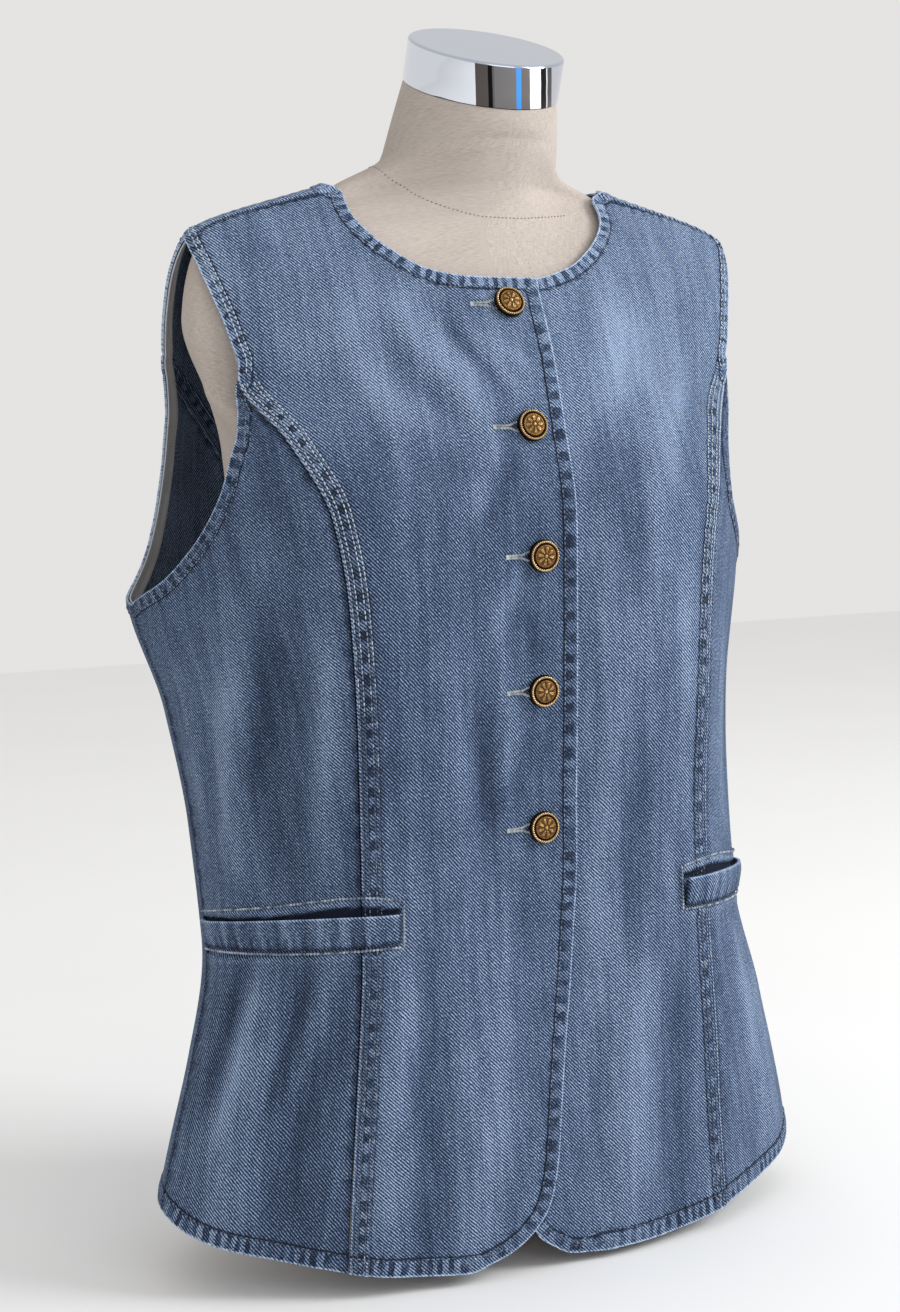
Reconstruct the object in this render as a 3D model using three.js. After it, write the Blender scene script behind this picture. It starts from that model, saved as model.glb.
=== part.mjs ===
// Denim waistcoat buttoned on a limbless dress form.
// Millimetres. +Z is up, the front faces -Y and +X is the wearer's left.
import * as THREE from 'three';

// Cloth and seams
const wall = 1.4;
const seamGap = 0.6;
const lapLift = 1.35;
const lapHold = 24;
const lapEnd = 38;

// Buttons
const buttonRadius = 8.5;
const buttonHeights = [508, 444, 378, 308, 236];
const buttonGap = 0.55;

// Pocket welts
const weltGap = 0.35;
const weltProud = 1.9;
const weltWall = 1.5;
const weltStartColumn = 8;
const weltRow = 8;

// Armhole facings
const facingGap = 1.5;
const facingWall = 0.8;
const facingWidth = 9;

// Dress form
const baseRounding = 62;
const neckMeet = 592;
const neckTop = 595.5;
const neckRings = 4;
const capRadius = 42;
const capHeight = 22.5;
const capTilt = 24;
const capCentre = { x: 8, y: -43.5, z: 646.4 };

// Outer shape of the worn waistcoat, one row for each height
const shape = [
  { z: 0, frontY: -98, seamX: 115, seamY: -82, sideX: 200, sideY: -12, backSeamX: 123, backSeamY: 79, backY: 86 },
  { z: 60, frontY: -97, seamX: 111, seamY: -84, sideX: 188, sideY: -18, backSeamX: 117, backSeamY: 81, backY: 88 },
  { z: 120, frontY: -95, seamX: 107, seamY: -88, sideX: 172, sideY: -19, backSeamX: 107, backSeamY: 83, backY: 90 },
  { z: 180, frontY: -94, seamX: 103, seamY: -90, sideX: 159, sideY: -12, backSeamX: 99, backSeamY: 86, backY: 94 },
  { z: 240, frontY: -93, seamX: 102, seamY: -91, sideX: 160, sideY: -1, backSeamX: 99, backSeamY: 92, backY: 99 },
  { z: 300, frontY: -97, seamX: 103, seamY: -95, sideX: 166, sideY: 12, backSeamX: 103, backSeamY: 98, backY: 104 },
  { z: 360, frontY: -101, seamX: 106, seamY: -97, sideX: 182, sideY: 18, backSeamX: 113, backSeamY: 102, backY: 108 },
  { z: 400, frontY: -103, seamX: 112, seamY: -95, sideX: 185, sideY: 15, backSeamX: 114, backSeamY: 103, backY: 109 },
  { z: 440, frontY: -95, seamX: 127, seamY: -76, sideX: 182, sideY: 5, backSeamX: 113, backSeamY: 99, backY: 107 },
  { z: 472, frontY: -87, seamX: 143, seamY: -53, sideX: 178, sideY: -4, backSeamX: 110, backSeamY: 93, backY: 101 },
  { z: 510, frontY: -72, seamX: 130, seamY: -55, sideX: 171, sideY: -15, backSeamX: 106, backSeamY: 81, backY: 88 },
  { z: 547, frontY: -54, seamX: 108, seamY: -45, sideX: 158, sideY: -24, backSeamX: 98, backSeamY: 54, backY: 59 },
  { z: 575, frontY: -38, seamX: 50, seamY: -33, sideX: 79, sideY: -25, backSeamX: 50, backSeamY: 30, backY: 34 },
];

// Lower neck of the form: middle and half widths of its level rings
const neck = [
  { z: 530, x: 0, y: -1, wide: 80, deep: 52 },
  { z: 551, x: 2, y: -3, wide: 67, deep: 51 },
  { z: 566, x: 5, y: -7, wide: 58, deep: 50 },
  { z: 580, x: 7, y: -12, wide: 51, deep: 48.5 },
  { z: 595.5, x: 8, y: -19, wide: 47.3, deep: 47.3 },
];

// How far the form lies inside the cloth, one row for each height
const inset = [
  { z: 0, front: 26, seam: 34, side: 62, blade: 30, back: 24 },
  { z: 60, front: 22, seam: 24, side: 46, blade: 24, back: 20 },
  { z: 120, front: 18, seam: 15, side: 28, blade: 18, back: 14 },
  { z: 180, front: 17, seam: 14, side: 24, blade: 20, back: 14 },
  { z: 240, front: 18, seam: 15, side: 34, blade: 26, back: 15 },
  { z: 300, front: 16, seam: 13, side: 46, blade: 34, back: 12 },
  { z: 360, front: 14, seam: 10, side: 58, blade: 44, back: 9 },
  { z: 400, front: 13, seam: 9, side: 60, blade: 46, back: 7 },
  { z: 440, front: 10, seam: 11, side: 50, blade: 36, back: 6 },
  { z: 472, front: 8, seam: 14, side: 34, blade: 22, back: 6 },
  { z: 510, front: 4.6, seam: 7, side: 13, blade: 8, back: 6 },
  { z: 535, front: 3.4, seam: 5.6, side: 9, blade: 7, back: 6 },
  { z: 575, front: 3.4, seam: 4, side: 5.4, blade: 5.4, back: 5.3 },
];

// Hem height round the garment, u as in the function skin
const hem = [
  { u: 0, z: 5.2 },
  { u: 0.45, z: 6 },
  { u: 0.85, z: 9.8 },
  { u: 1.12, z: 15 },
  { u: 1.4, z: 21.6 },
  { u: 1.7, z: 29.8 },
  { u: 2, z: 40 },
  { u: 2.4, z: 46 },
  { u: 3, z: 40 },
  { u: 4, z: 31 },
];
const hemSlant = 0.015;

// Front edges: x is measured towards the piece's own side
const upperEdge = [
  { x: 50.6, z: 6.9 }, { x: 32, z: 12.2 }, { x: 13.6, z: 23.9 }, { x: 4.7, z: 35.7 },
  { x: -0.9, z: 55.4 }, { x: -5.1, z: 88.8 }, { x: -8.9, z: 120.4 }, { x: -13.4, z: 156 },
  { x: -17.2, z: 192.5 }, { x: -18.6, z: 205 }, { x: -20, z: 231 }, { x: -20.5, z: 258 },
  { x: -20.5, z: 284 }, { x: -20.5, z: 311 }, { x: -20.5, z: 337 }, { x: -20.5, z: 363 },
  { x: -20.5, z: 390 }, { x: -20.5, z: 416 }, { x: -20.5, z: 442 }, { x: -20.5, z: 469 },
  { x: -20.5, z: 495 },
];
const lowerEdge = [
  { x: 28.5, z: 4.8 }, { x: 8.9, z: 6.6 }, { x: -2.3, z: 12.2 }, { x: -10.5, z: 18.6 },
  { x: -14.8, z: 28 }, { x: -17.5, z: 60 }, { x: -18.4, z: 110 }, { x: -19, z: 152 },
  { x: -19.6, z: 192.5 }, { x: -19.8, z: 205 }, { x: -20.2, z: 231 }, { x: -20.5, z: 258 },
  { x: -20.5, z: 284 }, { x: -20.5, z: 311 }, { x: -20.5, z: 337 }, { x: -20.5, z: 363 },
  { x: -20.5, z: 390 }, { x: -20.5, z: 416 }, { x: -20.5, z: 442 }, { x: -20.5, z: 469 },
  { x: -20.5, z: 495 },
];

// Front neckline from the front edge to the shoulder
const neckline = [
  { u: -0.157, z: 521.4 }, { u: 0.15, z: 523 }, { u: 0.325, z: 528.6 }, { u: 0.475, z: 538.8 },
  { u: 0.66, z: 552 }, { u: 0.93, z: 562.8 }, { u: 1.38, z: 571 }, { u: 2, z: 574 },
];

// Back neckline from the shoulder to the centre of the back
const backNeckline = [
  { u: 2.5, z: 574 }, { u: 2.95, z: 572.5 }, { u: 3.3, z: 570.5 }, { u: 3.65, z: 569 }, { u: 4, z: 568.5 },
];

// Heights of the cross rows on the four long seams, hem to armhole
const rows = [
  { seam: 12.6, side: 40, backSeam: 40 }, { seam: 30, side: 53, backSeam: 60 },
  { seam: 48, side: 68, backSeam: 82 }, { seam: 66, side: 83, backSeam: 105 },
  { seam: 88, side: 100, backSeam: 128 }, { seam: 112, side: 118, backSeam: 151 },
  { seam: 136, side: 137, backSeam: 174 }, { seam: 160, side: 155, backSeam: 197 },
  { seam: 184, side: 178.6, backSeam: 220 }, { seam: 200.1, side: 191.8, backSeam: 243 },
  { seam: 222, side: 205, backSeam: 266 }, { seam: 246, side: 221, backSeam: 290 },
  { seam: 272, side: 238, backSeam: 314 }, { seam: 298, side: 256, backSeam: 338 },
  { seam: 324, side: 274, backSeam: 362 }, { seam: 350, side: 291, backSeam: 385 },
  { seam: 376, side: 307, backSeam: 407 }, { seam: 400, side: 321, backSeam: 428 },
  { seam: 424, side: 335, backSeam: 449 }, { seam: 448, side: 347, backSeam: 467 },
  { seam: 472, side: 358.5, backSeam: 482 },
];

// Armhole from the front seam down to the side seam
const armholeLowFront = [
  { u: 1, z: 472 }, { u: 1.06, z: 461 }, { u: 1.18, z: 448 }, { u: 1.31, z: 432.5 }, { u: 1.43, z: 412.5 },
  { u: 1.57, z: 389.5 }, { u: 1.75, z: 370.5 }, { u: 2, z: 358.5 },
];

// Armhole from the front seam up to the shoulder tip
const armholeHighFront = [
  { u: 1.003, z: 480 }, { u: 1.08, z: 491 }, { u: 1.18, z: 501.5 }, { u: 1.31, z: 512.6 },
  { u: 1.45, z: 523.5 }, { u: 1.6, z: 533 }, { u: 1.8, z: 541.5 }, { u: 2, z: 547.5 },
];

// The left armhole lies closer to the chest in front, first below the front seam, then above it
const armholeLowFrontLeft = [
  { u: 1.048, z: 472 }, { u: 1.076, z: 463 }, { u: 1.085, z: 451 }, { u: 1.092, z: 438 }, { u: 1.11, z: 424 },
  { u: 1.175, z: 406 }, { u: 1.33, z: 391 }, { u: 1.53, z: 378 }, { u: 1.76, z: 366 }, { u: 2, z: 358.5 },
];
const armholeHighFrontLeft = [
  { u: 1.06, z: 480 }, { u: 1.14, z: 490.5 }, { u: 1.24, z: 502 }, { u: 1.35, z: 513 }, { u: 1.48, z: 524 },
  { u: 1.62, z: 533 }, { u: 1.8, z: 541.5 }, { u: 2, z: 547.5 },
];

// Armhole from the side seam up to the back seam
const armholeLowBack = [
  { u: 2, z: 358.5 }, { u: 2.2, z: 361.5 }, { u: 2.38, z: 368 }, { u: 2.52, z: 379 }, { u: 2.61, z: 393 },
  { u: 2.67, z: 412 }, { u: 2.69, z: 435 }, { u: 2.67, z: 457 }, { u: 2.61, z: 471 }, { u: 2.545, z: 482 },
];

// Armhole from the back seam up to the shoulder tip
const armholeHighBack = [
  { u: 2.5, z: 489 }, { u: 2.455, z: 496 }, { u: 2.41, z: 503 }, { u: 2.35, z: 511.5 },
  { u: 2.29, z: 519.5 }, { u: 2.21, z: 528 }, { u: 2.11, z: 537.5 }, { u: 2, z: 547.5 },
];

// Course of the back seam
const backSeam = [
  { z: 0, u: 3.12 }, { z: 300, u: 3.2 }, { z: 380, u: 3.26 }, { z: 411, u: 3.25 }, { z: 428, u: 3.19 },
  { z: 445, u: 3.07 }, { z: 459, u: 2.93 }, { z: 469, u: 2.78 }, { z: 476, u: 2.66 }, { z: 482, u: 2.545 },
];

// Largest soft folds: centre line, half width and depth, inward when negative
const folds = [
  { u0: -0.48, z0: 514, u1: -0.12, z1: 446, wide: 9, deep: 1.8 },
  { u0: -0.62, z0: 518, u1: -0.42, z1: 440, wide: 12, deep: 1.6 },
  { u0: -0.55, z0: 512, u1: -0.3, z1: 452, wide: 8, deep: -1.4 },
  { u0: -0.3, z0: 505, u1: -0.02, z1: 458, wide: 9, deep: -1.3 },
  { u0: -0.2, z0: 350, u1: -0.17, z1: 250, wide: 11, deep: 1.5 },
  { u0: -0.46, z0: 330, u1: -0.45, z1: 225, wide: 14, deep: 1.6 },
  { u0: -0.32, z0: 320, u1: -0.32, z1: 232, wide: 12, deep: -1.6 },
  { u0: -1.42, z0: 362, u1: -1.66, z1: 215, wide: 13, deep: 2.2 },
  { u0: -1.14, z0: 372, u1: -1.18, z1: 230, wide: 11, deep: 1.6 },
  { u0: -1.27, z0: 355, u1: -1.4, z1: 225, wide: 13, deep: -2 },
  { u0: -0.8, z0: 160, u1: -0.82, z1: 10, wide: 15, deep: 2.4 },
  { u0: -0.62, z0: 150, u1: -0.64, z1: 10, wide: 14, deep: -2.2 },
  { u0: -0.42, z0: 160, u1: -0.46, z1: 8, wide: 13, deep: 2 },
  { u0: -1.5, z0: 150, u1: -1.54, z1: 25, wide: 18, deep: 2.6 },
  { u0: -1.28, z0: 145, u1: -1.3, z1: 20, wide: 15, deep: -2.2 },
  { u0: 0.5, z0: 514, u1: 0.3, z1: 446, wide: 12, deep: 1.6 },
  { u0: 0.36, z0: 380, u1: 0.38, z1: 235, wide: 13, deep: 1.6 },
  { u0: 0.58, z0: 470, u1: 0.57, z1: 290, wide: 12, deep: 1.4 },
  { u0: 0.5, z0: 160, u1: 0.36, z1: 12, wide: 15, deep: 2.4 },
  { u0: 0.72, z0: 150, u1: 0.66, z1: 12, wide: 15, deep: -2 },
  { u0: 1.45, z0: 150, u1: 1.5, z1: 25, wide: 17, deep: 2.4 },
  { u0: 2.3, z0: 150, u1: 2.34, z1: 48, wide: 18, deep: 2.4 },
  { u0: -2.3, z0: 160, u1: -2.36, z1: 48, wide: 18, deep: -2.2 },
  { u0: 3.5, z0: 140, u1: 3.46, z1: 38, wide: 18, deep: 2.4 },
  { u0: -3.4, z0: 150, u1: -3.44, z1: 38, wide: 18, deep: 2.2 },
  { u0: 3.2, z0: 330, u1: 3.45, z1: 240, wide: 16, deep: -2 },
  { u0: -3.2, z0: 320, u1: -3.5, z1: 235, wide: 16, deep: -1.8 },
];
const foldScale = 112;

// Colours
const denimBlue = 0x6f8fb8;
const facingGrey = 0xb9bec6;
const linen = 0xd9cfbf;

// Smooth value through table rows, never past a row's own value
function curve(table, from, to) {
  const at = table.map((row) => row[from]);
  const value = table.map((row) => row[to]);
  const last = at.length - 1;
  const step = [];
  for (let i = 0; i < last; i++) step.push((value[i + 1] - value[i]) / (at[i + 1] - at[i]));
  const slope = at.map((_, i) => {
    if (i === 0) return step[0];
    if (i === last) return step[last - 1];
    const a = step[i - 1];
    const b = step[i];
    if (a * b <= 0) return 0;
    const wa = 2 * (at[i + 1] - at[i]) + (at[i] - at[i - 1]);
    const wb = (at[i + 1] - at[i]) + 2 * (at[i] - at[i - 1]);
    return (wa + wb) / (wa / a + wb / b);
  });
  return (where) => {
    const x = Math.min(Math.max(where, at[0]), at[last]);
    let i = 0;
    while (i < last - 1 && x > at[i + 1]) i++;
    const span = at[i + 1] - at[i];
    const t = (x - at[i]) / span;
    return hermite(t, value[i], value[i + 1], slope[i] * span, slope[i + 1] * span);
  };
}

function hermite(t, a, b, slopeA, slopeB) {
  const t2 = t * t;
  const t3 = t2 * t;
  return (2 * t3 - 3 * t2 + 1) * a + (t3 - 2 * t2 + t) * slopeA + (3 * t2 - 2 * t3) * b + (t3 - t2) * slopeB;
}

function smooth(value, low, high) {
  const t = Math.min(Math.max((value - low) / (high - low), 0), 1);
  return t * t * (3 - 2 * t);
}

const shapeAt = {};
for (const key of Object.keys(shape[0])) if (key !== 'z') shapeAt[key] = curve(shape, 'z', key);
const insetAt = {};
for (const key of Object.keys(inset[0])) if (key !== 'z') insetAt[key] = curve(inset, 'z', key);
const neckAt = {};
for (const key of Object.keys(neck[0])) if (key !== 'z') neckAt[key] = curve(neck, 'z', key);
const hemAt = curve(hem, 'u', 'z');
const backSeamAt = curve(backSeam, 'z', 'u');

// Point on the outer shape: u runs from 0 at the front centre over 1 at the front seam,
// 2 at the side and 3 at the back seam to 4 at the back centre, negative on the wearer's right
function skin(u, z) {
  const turned = u > 4 ? u - 8 : u;
  const a = Math.min(Math.abs(turned), 3.99999);
  const g = (key) => shapeAt[key](z);
  const knots = [
    [-g('seamX'), g('seamY')], [0, g('frontY')], [g('seamX'), g('seamY')], [g('sideX'), g('sideY')],
    [g('backSeamX'), g('backSeamY')], [0, g('backY')], [-g('backSeamX'), g('backSeamY')],
  ];
  const i = Math.floor(a);
  const point = [0, 1].map((k) => hermite(a - i, knots[i + 1][k], knots[i + 2][k],
    (knots[i + 2][k] - knots[i][k]) / 2, (knots[i + 3][k] - knots[i + 1][k]) / 2));
  return new THREE.Vector3(turned < 0 ? -point[0] : point[0], point[1], z);
}

// Outward direction of the outer shape
function outward(u, z) {
  const along = skin(u + 0.02, z).sub(skin(u - 0.02, z));
  const rise = skin(u, Math.min(z + 1, 575)).sub(skin(u, Math.max(z - 1, 0)));
  return along.cross(rise).normalize();
}

// Sum of the soft folds, each a rounded ridge or trough fading at both ends
function foldDepth(u, z) {
  const turned = u > 4 ? u - 8 : u;
  let sum = 0;
  for (const f of folds) {
    const du = (f.u1 - f.u0) * foldScale;
    const dz = f.z1 - f.z0;
    const pu = (turned - f.u0) * foldScale;
    const pz = z - f.z0;
    const length = Math.hypot(du, dz);
    const t = (pu * du + pz * dz) / (length * length);
    const across = (pu * dz - pz * du) / length;
    const fade = smooth(t, -0.25, 0.3) * (1 - smooth(t, 0.75, 1.25));
    sum += f.deep * fade * Math.exp(-((across / f.wide) ** 2));
  }
  return sum * smooth(Math.abs(skin(u, z).x), lapHold / 2, lapEnd);
}

// Nearest u with the wanted x, near the front centre
function acrossFront(x, z) {
  let low = -1;
  let high = 1;
  for (let i = 0; i < 40; i++) {
    const middle = (low + high) / 2;
    if (skin(middle, z).x < x) low = middle;
    else high = middle;
  }
  return (low + high) / 2;
}

// Moves a node sideways by a distance along the cloth
function shifted(node, distance) {
  const rate = skin(node.u + 0.01, node.z).distanceTo(skin(node.u - 0.01, node.z)) / 0.02;
  return { u: node.u + distance / rate, z: node.z };
}

// Points spaced evenly along a table of u and z
function spaced(table, count) {
  const along = [0];
  for (let i = 1; i < table.length; i++) {
    const du = (table[i].u - table[i - 1].u) * 90;
    const dz = table[i].z - table[i - 1].z;
    along.push(along[i - 1] + Math.hypot(du, dz));
  }
  const marked = table.map((row, i) => ({ s: along[i], u: row.u, z: row.z }));
  const uAt = curve(marked, 's', 'u');
  const zAt = curve(marked, 's', 'z');
  const total = along[along.length - 1];
  const points = [];
  for (let i = 0; i <= count; i++) points.push({ u: uAt(total * i / count), z: zAt(total * i / count) });
  return points;
}

// Fills the net between four edges that share their corners; a power keeps the top edge's pull high up
function net(left, right, low, high, power = 1) {
  const columns = low.length - 1;
  const lines = left.length - 1;
  const nodes = [];
  for (let j = 0; j <= lines; j++) {
    const v = (j / lines) ** power;
    const line = [];
    for (let i = 0; i <= columns; i++) {
      const s = i / columns;
      const mix = (k) => (1 - s) * left[j][k] + s * right[j][k] + (1 - v) * low[i][k] + v * high[i][k]
        - (1 - s) * (1 - v) * left[0][k] - s * (1 - v) * right[0][k]
        - (1 - s) * v * left[lines][k] - s * v * right[lines][k];
      line.push({ u: mix('u'), z: mix('z') });
    }
    nodes.push(line);
  }
  return nodes;
}

// Puts the net on the wearer's left or right and on the outer shape
function placed(nodes, side, liftAt) {
  return nodes.map((line) => line.map((node) => {
    const u = side * node.u;
    const direction = outward(u, node.z);
    const lift = foldDepth(u, node.z) + liftAt(u, node.z);
    return { point: skin(u, node.z).addScaledVector(direction, lift), direction };
  }));
}

// Closed wall between an outer and an inner net of points
function wallMesh(outer, inner, flip) {
  const lines = outer.length;
  const columns = outer[0].length;
  const positions = [];
  for (const layer of [outer, inner]) for (const line of layer) for (const p of line) positions.push(p.x, p.y, p.z);
  const id = (layer, j, i) => layer * lines * columns + j * columns + i;
  const faces = [];
  const quad = (a, b, c, d) => {
    if (flip) faces.push(a, c, b, a, d, c);
    else faces.push(a, b, c, a, c, d);
  };
  for (let j = 0; j < lines - 1; j++) {
    for (let i = 0; i < columns - 1; i++) {
      quad(id(0, j, i), id(0, j, i + 1), id(0, j + 1, i + 1), id(0, j + 1, i));
      quad(id(1, j, i), id(1, j + 1, i), id(1, j + 1, i + 1), id(1, j, i + 1));
    }
  }
  for (let i = 0; i < columns - 1; i++) {
    quad(id(1, 0, i), id(1, 0, i + 1), id(0, 0, i + 1), id(0, 0, i));
    quad(id(0, lines - 1, i), id(0, lines - 1, i + 1), id(1, lines - 1, i + 1), id(1, lines - 1, i));
  }
  for (let j = 0; j < lines - 1; j++) {
    quad(id(0, j, 0), id(0, j + 1, 0), id(1, j + 1, 0), id(1, j, 0));
    quad(id(0, j, columns - 1), id(1, j, columns - 1), id(1, j + 1, columns - 1), id(0, j + 1, columns - 1));
  }
  return geometryOf(positions, faces);
}

function geometryOf(positions, faces) {
  const geometry = new THREE.BufferGeometry();
  geometry.setAttribute('position', new THREE.Float32BufferAttribute(positions, 3));
  geometry.setIndex(faces);
  return geometry;
}

// Cloth wall behind a net of surface points
function cloth(net0, side) {
  const outer = net0.map((line) => line.map((n) => n.point));
  const inner = net0.map((line) => line.map((n) => n.point.clone().addScaledVector(n.direction, -wall)));
  return wallMesh(outer, inner, side < 0);
}

// Place of the front seam round the body: near the left armhole it leans outwards
function frontSeamU(side, z) {
  return side > 0 ? 1 + 0.05 * smooth(z, 440, 476) : 1;
}

// Front piece from the front edge to the princess seam, neckline and shoulder
function frontNodes(side, edge) {
  const left = edge.map((row) => ({ u: acrossFront(row.x, row.z), z: row.z })).concat(neckline);
  const seam = rows.map((row) => shifted({ u: frontSeamU(side, row.seam), z: row.seam }, -seamGap / 2));
  const right = seam.concat(side > 0 ? armholeHighFrontLeft : armholeHighFront);
  const top = right[right.length - 1];
  const start = left[0];
  const columns = 10;
  const low = [];
  const high = [];
  for (let i = 0; i <= columns; i++) {
    const s = i / columns;
    const u = start.u + s * (right[0].u - start.u);
    const z = i === 0 ? start.z : hemAt(u) - side * hemSlant * skin(u, 10).x;
    low.push({ u, z });
    high.push({ u: 2, z: neckline[neckline.length - 1].z + s * (top.z - neckline[neckline.length - 1].z) });
  }
  right[0] = low[columns];
  const nodes = net(left, right, low, high);
  return nodes.map((line, j) => (j === nodes.length - 1 ? line.map((n) => shifted(n, -seamGap / 2)) : line));
}

// Side piece of the front from the princess seam to the side seam
function sideFrontNodes(side) {
  const left = rows.map((row) => shifted({ u: frontSeamU(side, row.seam), z: row.seam }, seamGap / 2));
  const right = rows.map((row) => shifted({ u: 2, z: row.side }, -seamGap / 2));
  return sidePiece(side, left, right, side > 0 ? armholeLowFrontLeft : armholeLowFront);
}

// One edge of the back seam; the shift sideways grows where the seam lies slanted
function backSeamEdge(way) {
  return rows.map((row) => {
    const shift = way * seamGap / 2 * (1 + 1.5 * smooth(row.backSeam, 425, 465));
    return shifted({ u: backSeamAt(row.backSeam), z: row.backSeam }, shift);
  });
}

// Side piece of the back from the side seam to the back seam
function sideBackNodes(side) {
  const left = rows.map((row) => shifted({ u: 2, z: row.side }, seamGap / 2));
  const right = backSeamEdge(-1);
  return sidePiece(side, left, right, armholeLowBack);
}

function sidePiece(side, left, right, armhole) {
  const columns = 7;
  const last = left.length - 1;
  const low = [];
  for (let i = 0; i <= columns; i++) {
    const u = left[0].u + (i / columns) * (right[0].u - left[0].u);
    low.push({ u, z: hemAt(u) - side * hemSlant * skin(u, 10).x });
  }
  left[0] = low[0];
  right[0] = low[columns];
  const high = spaced(armhole, columns);
  high[0] = left[last];
  high[columns] = right[last];
  return net(left, right, low, high);
}

// Back piece between the back seams, from hem to shoulders
function backNodes() {
  const seam = backSeamEdge(1);
  const leftUp = seam.concat(armholeHighBack);
  const mirrored = (n) => ({ u: 8 - n.u, z: n.z });
  const shoulder = [547.5, 556.3, 565.2, 574].map((z) => ({ u: 2, z }));
  const half = shoulder.concat(backNeckline);
  const high = half.concat(half.slice(0, -1).reverse().map(mirrored));
  const columns = high.length - 1;
  const low = [];
  for (let i = 0; i <= columns; i++) {
    const u = leftUp[0].u + (i / columns) * (8 - 2 * leftUp[0].u);
    const round = u > 4 ? 8 - u : u;
    low.push({ u, z: hemAt(round) - hemSlant * skin(u, 10).x });
  }
  const left = leftUp.map((n) => ({ ...n }));
  const right = leftUp.map(mirrored);
  left[0] = low[0];
  right[0] = low[columns];
  const nodes = net(left, right, low, high, 3);
  const last = nodes.length - 1;
  return nodes.map((line, j) => (j < last ? line : line.map((n, i) => {
    if (i < 4) return shifted(n, seamGap / 2);
    if (i > columns - 4) return shifted(n, -seamGap / 2);
    return n;
  })));
}

// Raises the upper front edge and lowers the one under it
function lapAt(side, amount) {
  return (u, z) => amount * (1 - smooth(side * skin(u, z).x, lapHold, lapEnd));
}

// Pocket welt over the front and side pieces, on the nodes of both
function welt(frontNet, sideNet, flip) {
  const outer = [];
  const inner = [];
  for (const step of [0, 1]) {
    const lineF = frontNet[weltRow + step].slice(weltStartColumn);
    const lineS = sideNet[weltRow + step];
    const path = lineF.slice(0, -1).concat([joined(lineF[lineF.length - 1], lineS[0])], lineS.slice(1));
    const lift = weltGap + step * weltProud;
    inner.push(path.map((n) => n.point.clone().addScaledVector(n.direction, lift)));
    outer.push(path.map((n) => n.point.clone().addScaledVector(n.direction, lift + weltWall)));
  }
  return wallMesh(outer, inner, flip);
}

function joined(a, b) {
  return { point: a.point.clone().lerp(b.point, 0.5), direction: a.direction };
}

// Facing strip under the cloth all round one armhole, from the front shoulder to the back one
function facing(frontNet, sideFrontNet, sideBackNet, backNet, side) {
  const last = rows.length - 1;
  const edge = side > 0 ? 0 : backNet[0].length - 1;
  const pair = (net0, j, i, nextJ, nextI) => ({ at: net0[j][i], next: net0[nextJ][nextI] });
  const path = [];
  for (let j = frontNet.length - 1; j >= last; j--) path.push(pair(frontNet, j, 10, j, 9));
  for (const part of [sideFrontNet, sideBackNet]) {
    for (let i = 0; i < part[last].length; i++) path.push(pair(part, last, i, last - 1, i));
  }
  for (let j = last; j < backNet.length - 2; j++) path.push(pair(backNet, j, edge, j, edge + side));
  const merged = [];
  for (const p of path) {
    const before = merged[merged.length - 1];
    if (before && before.at.point.distanceTo(p.at.point) < 1.5) {
      merged[merged.length - 1] = { at: joined(before.at, p.at), next: joined(before.next, p.next) };
    } else merged.push(p);
  }
  const layer = (depth) => [1, 0].map((away) => merged.map((p) => {
    const share = away * facingWidth / p.at.point.distanceTo(p.next.point);
    const direction = p.at.direction.clone().lerp(p.next.direction, share).normalize();
    return p.at.point.clone().lerp(p.next.point, share).addScaledVector(direction, -depth);
  }));
  return wallMesh(layer(wall + facingGap), layer(wall + facingGap + facingWall), side < 0);
}

// Shank button turned about its own axis, standing off the cloth
function button(z) {
  const profile = [
    { r: 0, h: 0 }, { r: 2.6, h: 0 }, { r: 2.6, h: 1.7 }, { r: 6.7, h: 1.9 }, { r: buttonRadius, h: 2.6 },
    { r: 7.3, h: 3.5 }, { r: 6, h: 4.2 }, { r: 3.4, h: 5 }, { r: 0, h: 5.3 },
  ];
  const u = 0;
  const direction = outward(u, z);
  const lift = foldDepth(u, z) + lapLift + buttonGap;
  const base = skin(u, z).addScaledVector(direction, lift);
  const turn = new THREE.Quaternion().setFromUnitVectors(new THREE.Vector3(0, 0, 1), direction);
  return turned(profile, 14, base, turn);
}

// Closed body of revolution from a profile of radius and height
function turned(profile, parts, base, turn) {
  const positions = [];
  const faces = [];
  const rings = profile.slice(1, -1);
  for (const ring of rings) {
    for (let k = 0; k < parts; k++) {
      const angle = 2 * Math.PI * k / parts;
      const p = new THREE.Vector3(ring.r * Math.cos(angle), ring.r * Math.sin(angle), ring.h);
      p.applyQuaternion(turn).add(base);
      positions.push(p.x, p.y, p.z);
    }
  }
  for (const end of [profile[0], profile[profile.length - 1]]) {
    const p = new THREE.Vector3(0, 0, end.h).applyQuaternion(turn).add(base);
    positions.push(p.x, p.y, p.z);
  }
  const low = rings.length * parts;
  const high = low + 1;
  for (let k = 0; k < parts; k++) {
    const next = (k + 1) % parts;
    faces.push(low, next, k);
    for (let j = 0; j < rings.length - 1; j++) {
      const a = j * parts;
      const b = a + parts;
      faces.push(a + k, a + next, b + next, a + k, b + next, b + k);
    }
    const top = (rings.length - 1) * parts;
    faces.push(top + k, top + next, high);
  }
  return geometryOf(positions, faces);
}

// Height at which the form leaves the inside of the cloth and turns to the neck
const frontRise = curve(neckline, 'u', 'z');
const backRise = curve([{ u: 2, z: 574 }].concat(backNeckline), 'u', 'z');
function neckStart(u) {
  const a = Math.abs(u);
  return a < 2 ? frontRise(a) : backRise(a);
}

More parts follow.
